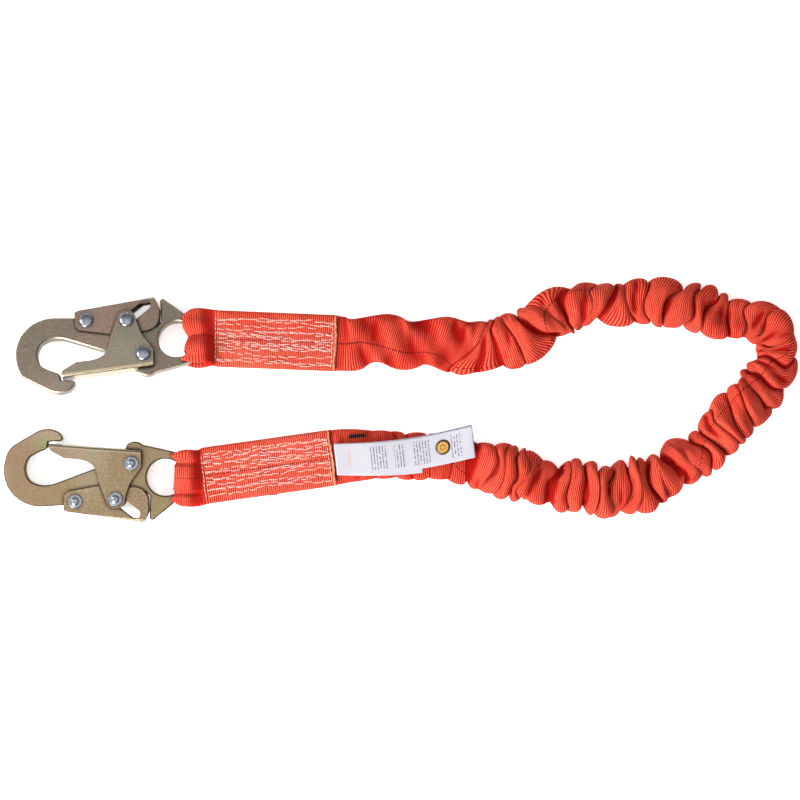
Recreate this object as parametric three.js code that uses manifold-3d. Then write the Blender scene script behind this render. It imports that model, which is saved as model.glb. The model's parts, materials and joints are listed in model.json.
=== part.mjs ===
// Shock absorbing lanyard: two double-locking snap hooks joined by a tubular webbing jacket
// that holds a tear-out core and an elastic strap. Millimetres, +Z up, lying on z = 0.
import * as THREE from 'three';
import { mergeVertices } from 'three/addons/utils/BufferGeometryUtils.js';
import Module from 'manifold-3d';

const wasm = await Module();
wasm.setup();

// ---- driving dimensions -------------------------------------------------------------------
const GAP = 0.3;                 // air between pieces that touch
const BODY_PLATE = 8.5;          // thickness of the forged hook body
const BODY_CHAMFER = 0.8;
const LEVER_SHEET = 1.4;         // pressed steel of the lock lever
const GATE_SHEET = 1.5;          // pressed steel of the gate
const EYE_BORE = 27;             // hole that the webbing passes through
const EYE_RIM = 6;               // width of steel around the eye
const NOTCH_WALL = 3.7;          // steel between the eye and the notch below the horn
const RIVET_SHANK = 5.2;
const LOCK_PIN_SHANK = 6.4;
const PIVOT_LUG = 3.2;           // steel around the lever's rivet
const RIVET_HEAD = 10;
const RIVET_DOME = 1.7;
const HEAD_EDGE = 0.6;           // straight side of a rivet head
const DOME_FLAT = 0.6;           // share of the head's width that the dome's crown keeps flat
const LEVER_RIVET_PLAY = 0.2;    // air between the lever and its rivet's heads
const PIN_SLIDE = 0.7;           // extra play of the lock pin in the lever's slot
const SLOT_SPARE = 3;            // slot past the pin's last place
const GATE_OPENING = 25;         // degrees that the gate swings in
const LEVER_PRESS = 9;           // degrees that the lever is pressed
const SPRING_WIRE = 1.2;
const SPRING_COIL_PLAY = 0.4;    // air between the gate spring's turn and the rivet's shank
const SPRING_LEG = 19;           // reach of the gate spring's long leg
const SPRING_LEAF = 0.5;

const WEB_WIDTH = 41;            // lay-flat width of the jacket webbing at the sewn ends
const WEB_LEG = 4;               // thickness of one flattened leg, core and jacket together
const LOOP_WIDTH = 13;           // webbing gathered where it passes through the eye
const LOOP_WALL = 2.5;
const PACK_1_LENGTH = 100;       // from the loop's bar to the end of the sewn pack
const PACK_2_LENGTH = 107.5;
const TOP_LEG_SHORT = 1.5;       // how far the top leg's cut end stops short of the pack's end
const TAPER_START = 4;           // the webbing spreads from the loop's width to its own between
const TAPER_END = 14;            // these distances from the bar
const LEGS_MEET = 13.5;          // distance from the bar at which the two legs lie together
const STITCH_START = 16;         // from the bar
const STITCH_END_MARGIN = 5;
const STITCH_SIDE_MARGIN = 3;
const STITCH_ROWS = 8;
const STITCH_THREAD = 0.8;
const JACKET_WIDTH = 38;         // gathered jacket, lying
const JACKET_HEIGHT = 9;
const JACKET_WALL = 1.6;
const ROUTE_STEPS = 60;
const CORE_WIDTH = 24;
const CORE_THICK = 2.2;
const CORE_MIDDLE = -1;          // height above the jacket's middle
const ELASTIC_WIDTH = 20;
const ELASTIC_THICK = 1.2;
const ELASTIC_MIDDLE = 1.2;
const LABEL_LENGTH = 101;
const LABEL_WIDTH = 23;
const LABEL_LEAF = 0.4;
const LABEL_LEAVES = 3;
const LABEL_SPREAD = 0.9;        // sideways step from one leaf to the next
const LABEL_RISE = 0.6;          // air between the jacket and the lowest leaf, past the gap
const LABEL_PLACE = [67, -36.6]; // middle of the sewn edge
const LABEL_YAW = 6.3;
const DISC_DIAMETER = 11;
const DISC_PLACE = [78.3, 1];    // on the top leaf, from its sewn edge

const HOOK_1_ROLL = -14;         // degrees about the hook's long axis
const HOOK_1_YAW = 5.7;
const HOOK_2_ROLL = 180;
const HOOK_2_YAW = -2.3;

// Route of the jacket's centre line, looking down on it.
const JACKET_ROUTE = [
  [71, 48], [79, 47.7], [91, 50], [105, 50], [120, 48], [136, 49], [154, 47], [174, 46], [192, 47],
  [207, 52], [220, 62], [233, 72], [248, 77], [264, 78], [280, 77], [294, 79], [308, 78], [324, 74],
  [342, 70], [358, 67], [372, 63], [384, 55], [390, 43], [388, 29], [378, 15], [364, 0], [349, -16],
  [333, -32], [314, -46], [294, -56], [272, -60], [250, -58], [228, -53], [204, -47], [180, -40],
  [156, -36], [131, -35], [104, -33], [79, -33.6], [69, -35],
];

// ---- sizes that follow --------------------------------------------------------------------
const BODY_HALF = BODY_PLATE / 2;
const LEVER_IN = BODY_HALF + GAP;
const LEVER_OUT = LEVER_IN + LEVER_SHEET;
const GATE_IN = LEVER_OUT + GAP;
const GATE_OUT = GATE_IN + GATE_SHEET;
const HOOK_HALF = GATE_OUT + GAP + RIVET_DOME;
const EYE_RADIUS = EYE_BORE / 2;
const RIM_RADIUS = EYE_RADIUS + EYE_RIM;
const BAR_X = EYE_RADIUS + EYE_RIM / 2;
const LOOP_OUT = HOOK_HALF;
const LOOP_IN = LOOP_OUT - LOOP_WALL;
const JACKET_MID = JACKET_HEIGHT / 2;
const LEVER_PIVOT = new THREE.Vector2(-64, 20);
const LOCK_PIN = new THREE.Vector2(-34.8, 17);
const GATE_PIVOT = new THREE.Vector2(-24.3, -9.3);

const STEEL = { color: 0x96876e, metalness: 0.9, roughness: 0.42 };
const BRIGHT = { color: 0xc9ccd0, metalness: 0.95, roughness: 0.3 };
const WEBBING = { color: 0xeb4b32, metalness: 0, roughness: 0.85 };
const THREAD = { color: 0xf2e6df, metalness: 0, roughness: 0.8 };
const CORE = { color: 0xd8d2c2, metalness: 0, roughness: 0.85 };
const ELASTIC = { color: 0x1d1d1f, metalness: 0, roughness: 0.9 };
const PAPER = { color: 0xeef0f3, metalness: 0, roughness: 0.6 };
const AMBER = { color: 0xe0a52c, metalness: 0, roughness: 0.5 };

const radians = THREE.MathUtils.degToRad;
const v2 = (pair) => new THREE.Vector2(pair[0], pair[1]);

// ---- helpers ------------------------------------------------------------------------------
// A closed geometry as a manifold solid.
function solid(geometry) {
  const bare = geometry.clone();
  bare.deleteAttribute('normal');
  bare.deleteAttribute('uv');
  const merged = mergeVertices(bare, 1e-4);
  return new wasm.Manifold(new wasm.Mesh({
    numProp: 3,
    vertProperties: new Float32Array(merged.attributes.position.array),
    triVerts: new Uint32Array(merged.index.array),
  }));
}

function geometryOf(manifold) {
  const mesh = manifold.getMesh();
  const geometry = new THREE.BufferGeometry();
  geometry.setAttribute('position', new THREE.BufferAttribute(new Float32Array(mesh.vertProperties), 3));
  geometry.setIndex(new THREE.BufferAttribute(new Uint32Array(mesh.triVerts), 1));
  return geometry;
}

function named(name, geometry, finish) {
  const mesh = new THREE.Mesh(geometry, new THREE.MeshStandardMaterial(finish));
  mesh.name = name;
  return mesh;
}

// Points of a smooth curve through the given pairs.
function smooth(pairs, steps) {
  return new THREE.SplineCurve(pairs.map(v2)).getPoints(steps);
}

// Points of a circular arc, angles in degrees, anticlockwise when the end is larger.
function arc(centre, radius, from, to, steps) {
  const points = [];
  for (let i = 0; i <= steps; i += 1) {
    const angle = radians(from + ((to - from) * i) / steps);
    points.push(new THREE.Vector2(centre.x + radius * Math.cos(angle), centre.y + radius * Math.sin(angle)));
  }
  return points;
}

// A plate of the given outline between z = -half and z = half, with chamfered edges.
function plate(points, half, chamfer = 0, holes = []) {
  const outline = THREE.ShapeUtils.isClockWise(points) ? points.slice().reverse() : points;
  const shape = new THREE.Shape(outline);
  holes.forEach((hole) => shape.holes.push(new THREE.Path(hole)));
  const geometry = new THREE.ExtrudeGeometry(shape, {
    depth: 2 * (half - chamfer),
    bevelEnabled: chamfer > 0,
    bevelThickness: chamfer,
    bevelSize: chamfer,
    bevelOffset: -chamfer,
    bevelSegments: 1,
  });
  geometry.translate(0, 0, chamfer - half);
  return geometry;
}

function holeAt(centre, radius, steps = 20) {
  return arc(centre, radius, 360, 360 / steps, steps - 1);
}

function turned(point, centre, degrees) {
  return point.clone().rotateAround(centre, radians(degrees));
}

// ---- hook pieces, in the hook's own frame: eye at the origin, +x to the webbing, +y to the lever
function bodyOutline() {
  const origin = new THREE.Vector2(0, 0);
  return [
    ...[[-58.5, 23], [-44, 23], [-41.5, 13.4], [-39.4, 11]].map(v2),
    ...arc(origin, EYE_RADIUS + NOTCH_WALL, 140, 126, 1),
    ...[[-9.9, 29.6], [-9.2, 31], [-7.4, 31.2]].map(v2),
    ...arc(origin, RIM_RADIUS, 66, -79, 26),
    v2([-16.8, -22.7]),
    ...smooth([[-19.4, -24.2], [-22.4, -25], [-26, -24.4], [-28.6, -22.4]], 5),
    ...[[-29.7, -19], [-34, -11.5], [-51, -4.3], [-78.8, 7.4]].map(v2),
    ...smooth([[-82, 8.6], [-88, 9.4], [-94, 8.4], [-98.8, 5.2], [-101.2, -1.6], [-99.6, -9], [-95, -13],
      [-87.7, -16.5]], 22),
    ...[[-86, -18], [-85.5, -22.3], [-76.6, -23.2], [-75, -24.6]].map(v2),
    ...smooth([[-76.2, -27.6], [-79.8, -30.4], [-86.4, -31.6], [-92.4, -30.2], [-97.6, -27]], 10),
    ...smooth([[-109.6, -19.5], [-113.6, -15.6], [-116.1, -9], [-117, -1], [-115.6, 7], [-111.8, 14.5],
      [-104.5, 21], [-97, 24], [-90.1, 24.9], [-80, 24]], 28),
    v2([-71.6, 23.1]),
    ...arc(LEVER_PIVOT, RIVET_SHANK / 2 + PIVOT_LUG, 140, 32, 8),
  ];
}

function hookBody() {
  const origin = new THREE.Vector2(0, 0);
  const holes = [
    holeAt(origin, EYE_RADIUS, 40),
    holeAt(LEVER_PIVOT, RIVET_SHANK / 2 + GAP),
    holeAt(GATE_PIVOT, RIVET_SHANK / 2 + GAP),
  ];
  return plate(bodyOutline(), BODY_HALF, BODY_CHAMFER, holes);
}

// Gate: a folded channel whose web faces out of the hook and whose cheeks straddle the body.
function gate() {
  const web = [v2([-17.7, -18.8]), v2([-84.4, -20.9])];
  const floor = [web[0].y - 0.4, web[1].y - 0.5].map((edge) => edge + GATE_SHEET);
  const outline = [
    ...web,
    ...[[-84.4, -18.4], [-83, -16], [-73.1, -10.9], [-61.9, -10.7], [-56.1, -9.4]].map(v2),
    ...smooth([[-52.6, -7.4], [-50, -3.6], [-47.1, 6.1]], 4),
    ...arc(LOCK_PIN, 7, 162, -8, 12),
    ...smooth([[-26.3, 10], [-24, 3.8], [-19.9, -2.2], [-17.1, -7.2]], 6),
  ];
  const outer = solid(plate(outline, GATE_OUT));
  const inside = [[-31.5, -60], [0, -60], [0, 60], [-100, 60], [-100, floor[1]], [-31.5, floor[0]]].map(v2);
  const holes = [
    solid(plate(holeAt(LOCK_PIN, LOCK_PIN_SHANK / 2 + GAP), GATE_OUT + 1)),
    solid(plate(holeAt(GATE_PIVOT, RIVET_SHANK / 2 + GAP), GATE_OUT + 1)),
  ];
  let piece = outer.subtract(solid(plate(inside, GATE_IN)));
  holes.forEach((hole) => {
    piece = piece.subtract(hole);
  });
  return geometryOf(piece);
}

// Places that the lock pin takes in the lever's own frame while both swing.
function pinPath(steps) {
  const places = [];
  for (let i = 0; i <= steps; i += 1) {
    const pin = turned(LOCK_PIN, GATE_PIVOT, (-GATE_OPENING * i) / steps);
    places.push(turned(pin, LEVER_PIVOT, (LEVER_PRESS * i) / steps));
  }
  return places;
}

function leverSlot() {
  const radius = LOCK_PIN_SHANK / 2 + PIN_SLIDE;
  const path = pinPath(6);
  const last = path.at(-1);
  path.push(last.clone().add(last.clone().sub(path.at(-2)).setLength(SLOT_SPARE)));
  let slot = null;
  for (let i = 0; i < path.length - 1; i += 1) {
    const along = path[i + 1].clone().sub(path[i]);
    const heading = THREE.MathUtils.radToDeg(Math.atan2(along.y, along.x));
    const link = [
      ...arc(path[i + 1], radius, heading - 90, heading + 90, 10),
      ...arc(path[i], radius, heading + 90, heading + 270, 10),
    ];
    const piece = solid(plate(link, LEVER_OUT + 1));
    slot = slot ? slot.add(piece) : piece;
  }
  return slot;
}

// Lock lever: a channel over the spine; its web is the thumb face.
function lockLever() {
  const left = v2([-71.2, 27.7]);
  const right = v2([-14.5, 33.3]);
  const outline = [
    ...smooth([[-14.5, 33.3], [-12.4, 29.6], [-10.9, 24.9]], 3).reverse(),
    left,
    ...[[-72.2, 26.6], [-72.3, 16.1], [-69.8, 13.1], [-46.9, 8], [-20.5, 8]].map(v2),
    ...smooth([[-16.4, 9.3], [-13.4, 12], [-11.5, 16.4]], 5),
  ];
  const slope = right.clone().sub(left).normalize();
  const drop = new THREE.Vector2(slope.y, -slope.x).multiplyScalar(LEVER_SHEET);
  const beyond = slope.clone().multiplyScalar(20);
  const inside = [
    left.clone().add(drop).sub(beyond),
    v2([-100, -10]),
    v2([10, -10]),
    right.clone().add(drop).add(beyond),
  ];
  let piece = solid(plate(outline, LEVER_OUT)).subtract(solid(plate(inside, LEVER_IN)));
  piece = piece.subtract(leverSlot());
  piece = piece.subtract(solid(plate(holeAt(LEVER_PIVOT, RIVET_SHANK / 2 + GAP), LEVER_OUT + 1)));
  return geometryOf(piece);
}

// A rivet with a domed head at both ends; the heads' flat sides are at z = +-low.
function rivet(centre, shank, low) {
  const rim = RIVET_HEAD / 2;
  const side = [[shank, low], [rim, low], [rim, low + HEAD_EDGE], [rim * DOME_FLAT, low + RIVET_DOME]];
  const half = side.map((pair) => new THREE.Vector2(pair[0], pair[1]));
  const profile = [
    new THREE.Vector2(0, -low - RIVET_DOME),
    ...half.map((point) => new THREE.Vector2(point.x, -point.y)).reverse(),
    ...half,
    new THREE.Vector2(0, low + RIVET_DOME),
  ];
  const geometry = new THREE.LatheGeometry(profile, 16);
  geometry.rotateX(Math.PI / 2);
  geometry.translate(centre.x, centre.y, 0);
  return geometry;
}

// A round wire along a list of points.
function wire(points, diameter, steps) {
  const path = new THREE.CatmullRomCurve3(points);
  const section = new THREE.Shape(arc(new THREE.Vector2(0, 0), diameter / 2, 0, 300, 5));
  return new THREE.ExtrudeGeometry(section, { steps, extrudePath: path, bevelEnabled: false });
}

// Gate spring: one turn around the gate rivet, one leg along the gate, between body and cheek.
function gateSpring() {
  const z = (BODY_HALF + GATE_IN) / 2;
  const radius = RIVET_SHANK / 2 + GAP + SPRING_WIRE + SPRING_COIL_PLAY;
  const rise = SPRING_WIRE / 8;
  const turn = arc(GATE_PIVOT, radius, 60, -120, 10);
  const points = turn.map((point, i) => new THREE.Vector3(point.x, point.y, z + rise * (i / 10 - 0.5)));
  const ends = [
    new THREE.Vector3(GATE_PIVOT.x - 2, GATE_PIVOT.y + radius + 3, z - rise / 2),
    new THREE.Vector3(GATE_PIVOT.x - SPRING_LEG, GATE_PIVOT.y - radius - SPRING_WIRE / 2, z + rise / 2),
  ];
  return wire([ends[0], ...points, ends[1]], SPRING_WIRE, 26);
}

// Lever spring: a bent leaf under the lever's web that bears on the spine by the lever's pivot.
function leverSpring() {
  const half = BODY_HALF - BODY_CHAMFER;
  const under = [[-36, 29.3], [-50, 27.9], [-55, 26.6], [-57.8, 25.4]];
  const over = under.map((pair) => [pair[0], pair[1] - SPRING_LEAF]).reverse();
  return plate([...under, ...over].map(v2).reverse(), half);
}

// ---- placing ------------------------------------------------------------------------------
function turnedFrame(yaw, pitch, roll) {
  const turn = new THREE.Matrix4().makeRotationZ(radians(yaw));
  turn.multiply(new THREE.Matrix4().makeRotationY(radians(pitch)));
  return turn.multiply(new THREE.Matrix4().makeRotationX(radians(roll)));
}

// Height of the hook's middle plane, so that its lowest rivet head touches z = 0.
function restHeight(roll) {
  const tilt = radians(roll);
  const heads = [
    [LOCK_PIN.y, HOOK_HALF, (RIVET_HEAD * DOME_FLAT) / 2],
    [LOCK_PIN.y, HOOK_HALF - RIVET_DOME + HEAD_EDGE, RIVET_HEAD / 2],
  ];
  const edges = heads.map((head) => (
    (Math.abs(Math.sin(tilt)) * (head[0] + head[2])) + Math.abs(Math.cos(tilt)) * head[1]));
  return Math.max(...edges);
}

// Frames of one end: the pack runs from the jacket's end back to the loop's bar, and the
// hook hangs on the bar. Both frames have their origin on the bar.
function endFrames(start, next, length, yaw, roll) {
  const barHeight = restHeight(roll);
  const heading = v2(start).sub(v2(next)).normalize();
  const drop = barHeight - JACKET_MID;
  const run = Math.sqrt(length ** 2 - drop ** 2);
  const bar = new THREE.Vector3(start[0] + heading.x * run, start[1] + heading.y * run, barHeight);
  const packYaw = THREE.MathUtils.radToDeg(Math.atan2(-heading.y, -heading.x));
  const packPitch = THREE.MathUtils.radToDeg(Math.asin(drop / length));
  const pack = new THREE.Matrix4().makeTranslation(bar.x, bar.y, bar.z);
  pack.multiply(turnedFrame(packYaw, packPitch, 0));
  const hook = new THREE.Matrix4().makeTranslation(bar.x, bar.y, bar.z);
  hook.multiply(turnedFrame(yaw, 0, roll));
  const flip = Math.abs(roll) > 90 ? 180 : 0;
  const loop = new THREE.Matrix4().makeTranslation(bar.x, bar.y, bar.z);
  loop.multiply(turnedFrame(yaw, 0, roll - flip));
  return { pack, hook, loop, length };
}

function hookGroup(name, frame) {
  const group = new THREE.Group();
  group.applyMatrix4(frame);
  const inner = new THREE.Group();
  inner.position.x = -BAR_X;
  inner.add(
    named(`${name}_body`, hookBody(), STEEL),
    named(`${name}_gate`, gate(), STEEL),
    named(`${name}_lock_lever`, lockLever(), STEEL),
    named(`${name}_lever_rivet`, rivet(LEVER_PIVOT, RIVET_SHANK / 2, LEVER_OUT + LEVER_RIVET_PLAY), BRIGHT),
    named(`${name}_gate_rivet`, rivet(GATE_PIVOT, RIVET_SHANK / 2, GATE_OUT + GAP), BRIGHT),
    named(`${name}_lock_pin`, rivet(LOCK_PIN, LOCK_PIN_SHANK / 2, GATE_OUT + GAP), BRIGHT),
    named(`${name}_gate_spring`, gateSpring(), BRIGHT),
    named(`${name}_lever_spring`, leverSpring(), BRIGHT),
  );
  group.add(inner);
  return group;
}

// ---- sewn ends ----------------------------------------------------------------------------
function halfWidthAt(u) {
  const t = THREE.MathUtils.smoothstep(u, TAPER_START, TAPER_END);
  return (LOOP_WIDTH + (WEB_WIDTH - LOOP_WIDTH) * t) / 2;
}

// Moves a geometry made in the pack's own axes into place: near the bar it follows the hook.
function layEnd(geometry, frames) {
  const place = geometry.attributes.position;
  for (let i = 0; i < place.count; i += 1) {
    const point = new THREE.Vector3().fromBufferAttribute(place, i);
    const share = 1 - THREE.MathUtils.smoothstep(point.x, TAPER_START, TAPER_END);
    const onPack = point.clone().applyMatrix4(frames.pack);
    const onLoop = point.clone().applyMatrix4(frames.loop);
    onPack.lerp(onLoop, share);
    place.setXYZ(i, onPack.x, onPack.y, onPack.z);
  }
  return geometry;
}

// One leg edge between the loop and the sewn pack: height as it runs from the loop's wall.
function legEdge(loopHeight, packHeight) {
  const points = [];
  for (let u = 2; u < LEGS_MEET; u += 2.1) {
    const t = THREE.MathUtils.smoothstep(u, 0, LEGS_MEET);
    points.push(new THREE.Vector2(u, loopHeight + (packHeight - loopHeight) * t));
  }
  points.push(new THREE.Vector2(TAPER_END, packHeight));
  return points;
}

// The jacket's end: up through the eye, around the bar and back on itself, cut just short of the jacket.
function endWeb(frames) {
  const centre = new THREE.Vector2(0, 0);
  const slit = GAP / 2;
  const top = slit + WEB_LEG;
  const upperLength = frames.length - TOP_LEG_SHORT;
  const lowerLength = frames.length - GAP / 2;
  const mirrored = (points) => points.map((point) => new THREE.Vector2(point.x, -point.y)).reverse();
  const outerEdge = legEdge(LOOP_OUT, top);
  const innerEdge = legEdge(LOOP_IN, slit);
  const outline = [
    new THREE.Vector2(lowerLength, -slit),
    new THREE.Vector2(lowerLength, -top),
    ...mirrored(outerEdge),
    ...arc(centre, LOOP_OUT, 270, 90, 16),
    ...outerEdge,
    new THREE.Vector2(upperLength, top),
    new THREE.Vector2(upperLength, slit),
    ...innerEdge.slice().reverse(),
    ...arc(centre, LOOP_IN, 90, 270, 12),
    ...mirrored(innerEdge).reverse(),
  ];
  const geometry = new THREE.ExtrudeGeometry(new THREE.Shape(outline), { depth: 2, bevelEnabled: false });
  geometry.translate(0, 0, -1);
  geometry.rotateX(Math.PI / 2);
  const place = geometry.attributes.position;
  for (let i = 0; i < place.count; i += 1) {
    place.setY(i, place.getY(i) * halfWidthAt(place.getX(i)));
  }
  return layEnd(geometry, frames);
}

// Rows of lock stitching over the sewn length, tied by a bar of stitches at both ends.
function stitching(frames) {
  const from = STITCH_START;
  const to = frames.length - STITCH_END_MARGIN;
  const across = WEB_WIDTH - 2 * STITCH_SIDE_MARGIN;
  const pitch = (across - STITCH_THREAD) / (STITCH_ROWS - 1);
  const box = (x0, x1, y0, y1) => [[x0, y0], [x1, y0], [x1, y1], [x0, y1]].map(v2);
  const between = [];
  for (let i = 0; i < STITCH_ROWS - 1; i += 1) {
    const low = -across / 2 + STITCH_THREAD + i * pitch;
    between.push(box(from + STITCH_THREAD, to - STITCH_THREAD, low, low + pitch - STITCH_THREAD));
  }
  const geometry = plate(box(from, to, -across / 2, across / 2), STITCH_THREAD / 2, 0, between);
  geometry.translate(0, 0, GAP / 2 + WEB_LEG + GAP + STITCH_THREAD / 2);
  geometry.applyMatrix4(frames.pack);
  return geometry;
}

// ---- jacket and what it holds ---------------------------------------------------------------
function routeCurve() {
  return new THREE.CatmullRomCurve3(
    JACKET_ROUTE.map((pair) => new THREE.Vector3(pair[0], pair[1], JACKET_MID)), false, 'centripetal');
}

// A flat oval: straight top and bottom with round edges.
function ovalPoints(width, height) {
  const reach = width / 2 - height / 2;
  return [
    ...arc(new THREE.Vector2(reach, 0), height / 2, -90, 90, 3),
    ...arc(new THREE.Vector2(-reach, 0), height / 2, 90, 270, 3),
  ];
}

// Sweeps a section lying across the route; its y is up. The frame never rolls.
function swept(outer, inner, steps) {
  const shape = new THREE.Shape(outer);
  if (inner) {
    shape.holes.push(new THREE.Path(inner));
  }
  const curve = routeCurve();
  const length = curve.getLength();
  const geometry = new THREE.ExtrudeGeometry(shape, { steps, depth: length, bevelEnabled: false });
  const place = geometry.attributes.position;
  for (let i = 0; i < place.count; i += 1) {
    const along = Math.min(Math.max(place.getZ(i) / length, 0), 1);
    const at = curve.getPointAt(along);
    const heading = curve.getTangentAt(along);
    const side = new THREE.Vector3(-heading.y, heading.x, 0).normalize();
    at.addScaledVector(side, place.getX(i));
    place.setXYZ(i, at.x, at.y, at.z + place.getY(i));
  }
  return geometry;
}

function jacket() {
  const inner = ovalPoints(JACKET_WIDTH - 2 * JACKET_WALL, JACKET_HEIGHT - 2 * JACKET_WALL);
  return swept(ovalPoints(JACKET_WIDTH, JACKET_HEIGHT), inner, ROUTE_STEPS);
}

function strap(width, thick, middle) {
  const half = width / 2;
  const low = middle - thick / 2;
  return swept([[-half, low], [half, low], [half, low + thick], [-half, low + thick]].map(v2), null, ROUTE_STEPS);
}

// ---- label ----------------------------------------------------------------------------------
// The label is sewn at its left edge and lies on the lower run of the jacket.
function labelGroup() {
  const group = new THREE.Group();
  group.position.set(...LABEL_PLACE, JACKET_HEIGHT + GAP + LABEL_RISE);
  group.rotation.z = radians(LABEL_YAW);
  for (let i = 0; i < LABEL_LEAVES; i += 1) {
    const leaf = new THREE.Shape([[0, -LABEL_WIDTH / 2], [LABEL_LENGTH, -LABEL_WIDTH / 2],
      [LABEL_LENGTH, LABEL_WIDTH / 2], [0, LABEL_WIDTH / 2]].map(v2));
    const geometry = new THREE.ExtrudeGeometry(leaf, { depth: LABEL_LEAF, bevelEnabled: false });
    geometry.translate(0, (i - 1) * LABEL_SPREAD, i * (LABEL_LEAF + GAP));
    group.add(named(`label_leaf_${i + 1}`, geometry, PAPER));
  }
  const top = LABEL_LEAVES * (LABEL_LEAF + GAP);
  const disc = new THREE.CylinderGeometry(DISC_DIAMETER / 2, DISC_DIAMETER / 2, LABEL_LEAF, 24);
  disc.rotateX(Math.PI / 2);
  disc.translate(...DISC_PLACE, top + LABEL_LEAF / 2);
  group.add(named('label_disc', disc, AMBER));
  return group;
}

// ---- the lanyard ------------------------------------------------------------------------------
const lanyard = new THREE.Group();
const ends = [
  endFrames(JACKET_ROUTE[0], JACKET_ROUTE[1], PACK_1_LENGTH, HOOK_1_YAW, HOOK_1_ROLL),
  endFrames(JACKET_ROUTE.at(-1), JACKET_ROUTE.at(-2), PACK_2_LENGTH, HOOK_2_YAW, HOOK_2_ROLL),
];
ends.forEach((frames, i) => {
  lanyard.add(hookGroup(`hook_${i + 1}`, frames.hook));
  lanyard.add(named(`sewn_end_${i + 1}`, endWeb(frames), WEBBING));
  lanyard.add(named(`stitching_${i + 1}`, stitching(frames), THREAD));
});
lanyard.add(named('jacket', jacket(), WEBBING));
lanyard.add(named('shock_core', strap(CORE_WIDTH, CORE_THICK, CORE_MIDDLE), CORE));
lanyard.add(named('elastic_strap', strap(ELASTIC_WIDTH, ELASTIC_THICK, ELASTIC_MIDDLE), ELASTIC));
lanyard.add(labelGroup());

export default lanyard;
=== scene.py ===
import json
import logging
import math
from dataclasses import dataclass, field
from enum import Enum
from typing import Any, Sequence

import bmesh
import bpy
import numpy as np
from mathutils import Matrix, Vector


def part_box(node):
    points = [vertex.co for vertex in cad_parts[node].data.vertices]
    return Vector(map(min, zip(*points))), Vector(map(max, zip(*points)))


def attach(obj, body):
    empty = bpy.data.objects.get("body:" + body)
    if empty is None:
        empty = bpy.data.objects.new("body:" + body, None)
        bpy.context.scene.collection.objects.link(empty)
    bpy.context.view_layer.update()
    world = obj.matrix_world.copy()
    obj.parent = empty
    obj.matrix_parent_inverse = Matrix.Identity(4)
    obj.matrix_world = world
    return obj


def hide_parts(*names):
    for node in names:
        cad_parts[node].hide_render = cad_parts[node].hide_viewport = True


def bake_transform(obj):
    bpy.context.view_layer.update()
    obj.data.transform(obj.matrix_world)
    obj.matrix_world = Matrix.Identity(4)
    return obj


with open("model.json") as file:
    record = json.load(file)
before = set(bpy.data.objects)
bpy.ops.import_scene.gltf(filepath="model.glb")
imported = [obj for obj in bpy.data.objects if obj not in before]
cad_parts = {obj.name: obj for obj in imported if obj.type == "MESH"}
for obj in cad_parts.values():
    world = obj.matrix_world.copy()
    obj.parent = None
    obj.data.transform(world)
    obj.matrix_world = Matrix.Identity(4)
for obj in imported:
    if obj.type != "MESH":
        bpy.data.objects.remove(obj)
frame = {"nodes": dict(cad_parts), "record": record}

log = logging.getLogger("lanyard")
MM = 0.001
Colour = tuple[float, float, float]


# ---- sizes shared with the CAD source --------------------------------------------------------
EYE_RADIUS = 13.5 * MM
BAR_X = 16.5 * MM  # eye's centre to the bar that the webbing loops round
WEB_WIDTH = 41 * MM
LEG = 4 * MM
JACKET_MID = 4.5 * MM
JACKET_ROUTE = [
    (71, 48), (79, 47.7), (91, 50), (105, 50), (120, 48), (136, 49), (154, 47), (174, 46), (192, 47),
    (207, 52), (220, 62), (233, 72), (248, 77), (264, 78), (280, 77), (294, 79), (308, 78), (324, 74),
    (342, 70), (358, 67), (372, 63), (384, 55), (390, 43), (388, 29), (378, 15), (364, 0), (349, -16),
    (333, -32), (314, -46), (294, -56), (272, -60), (250, -58), (228, -53), (204, -47), (180, -40),
    (156, -36), (131, -35), (104, -33), (79, -33.6), (69, -35),
]


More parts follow.
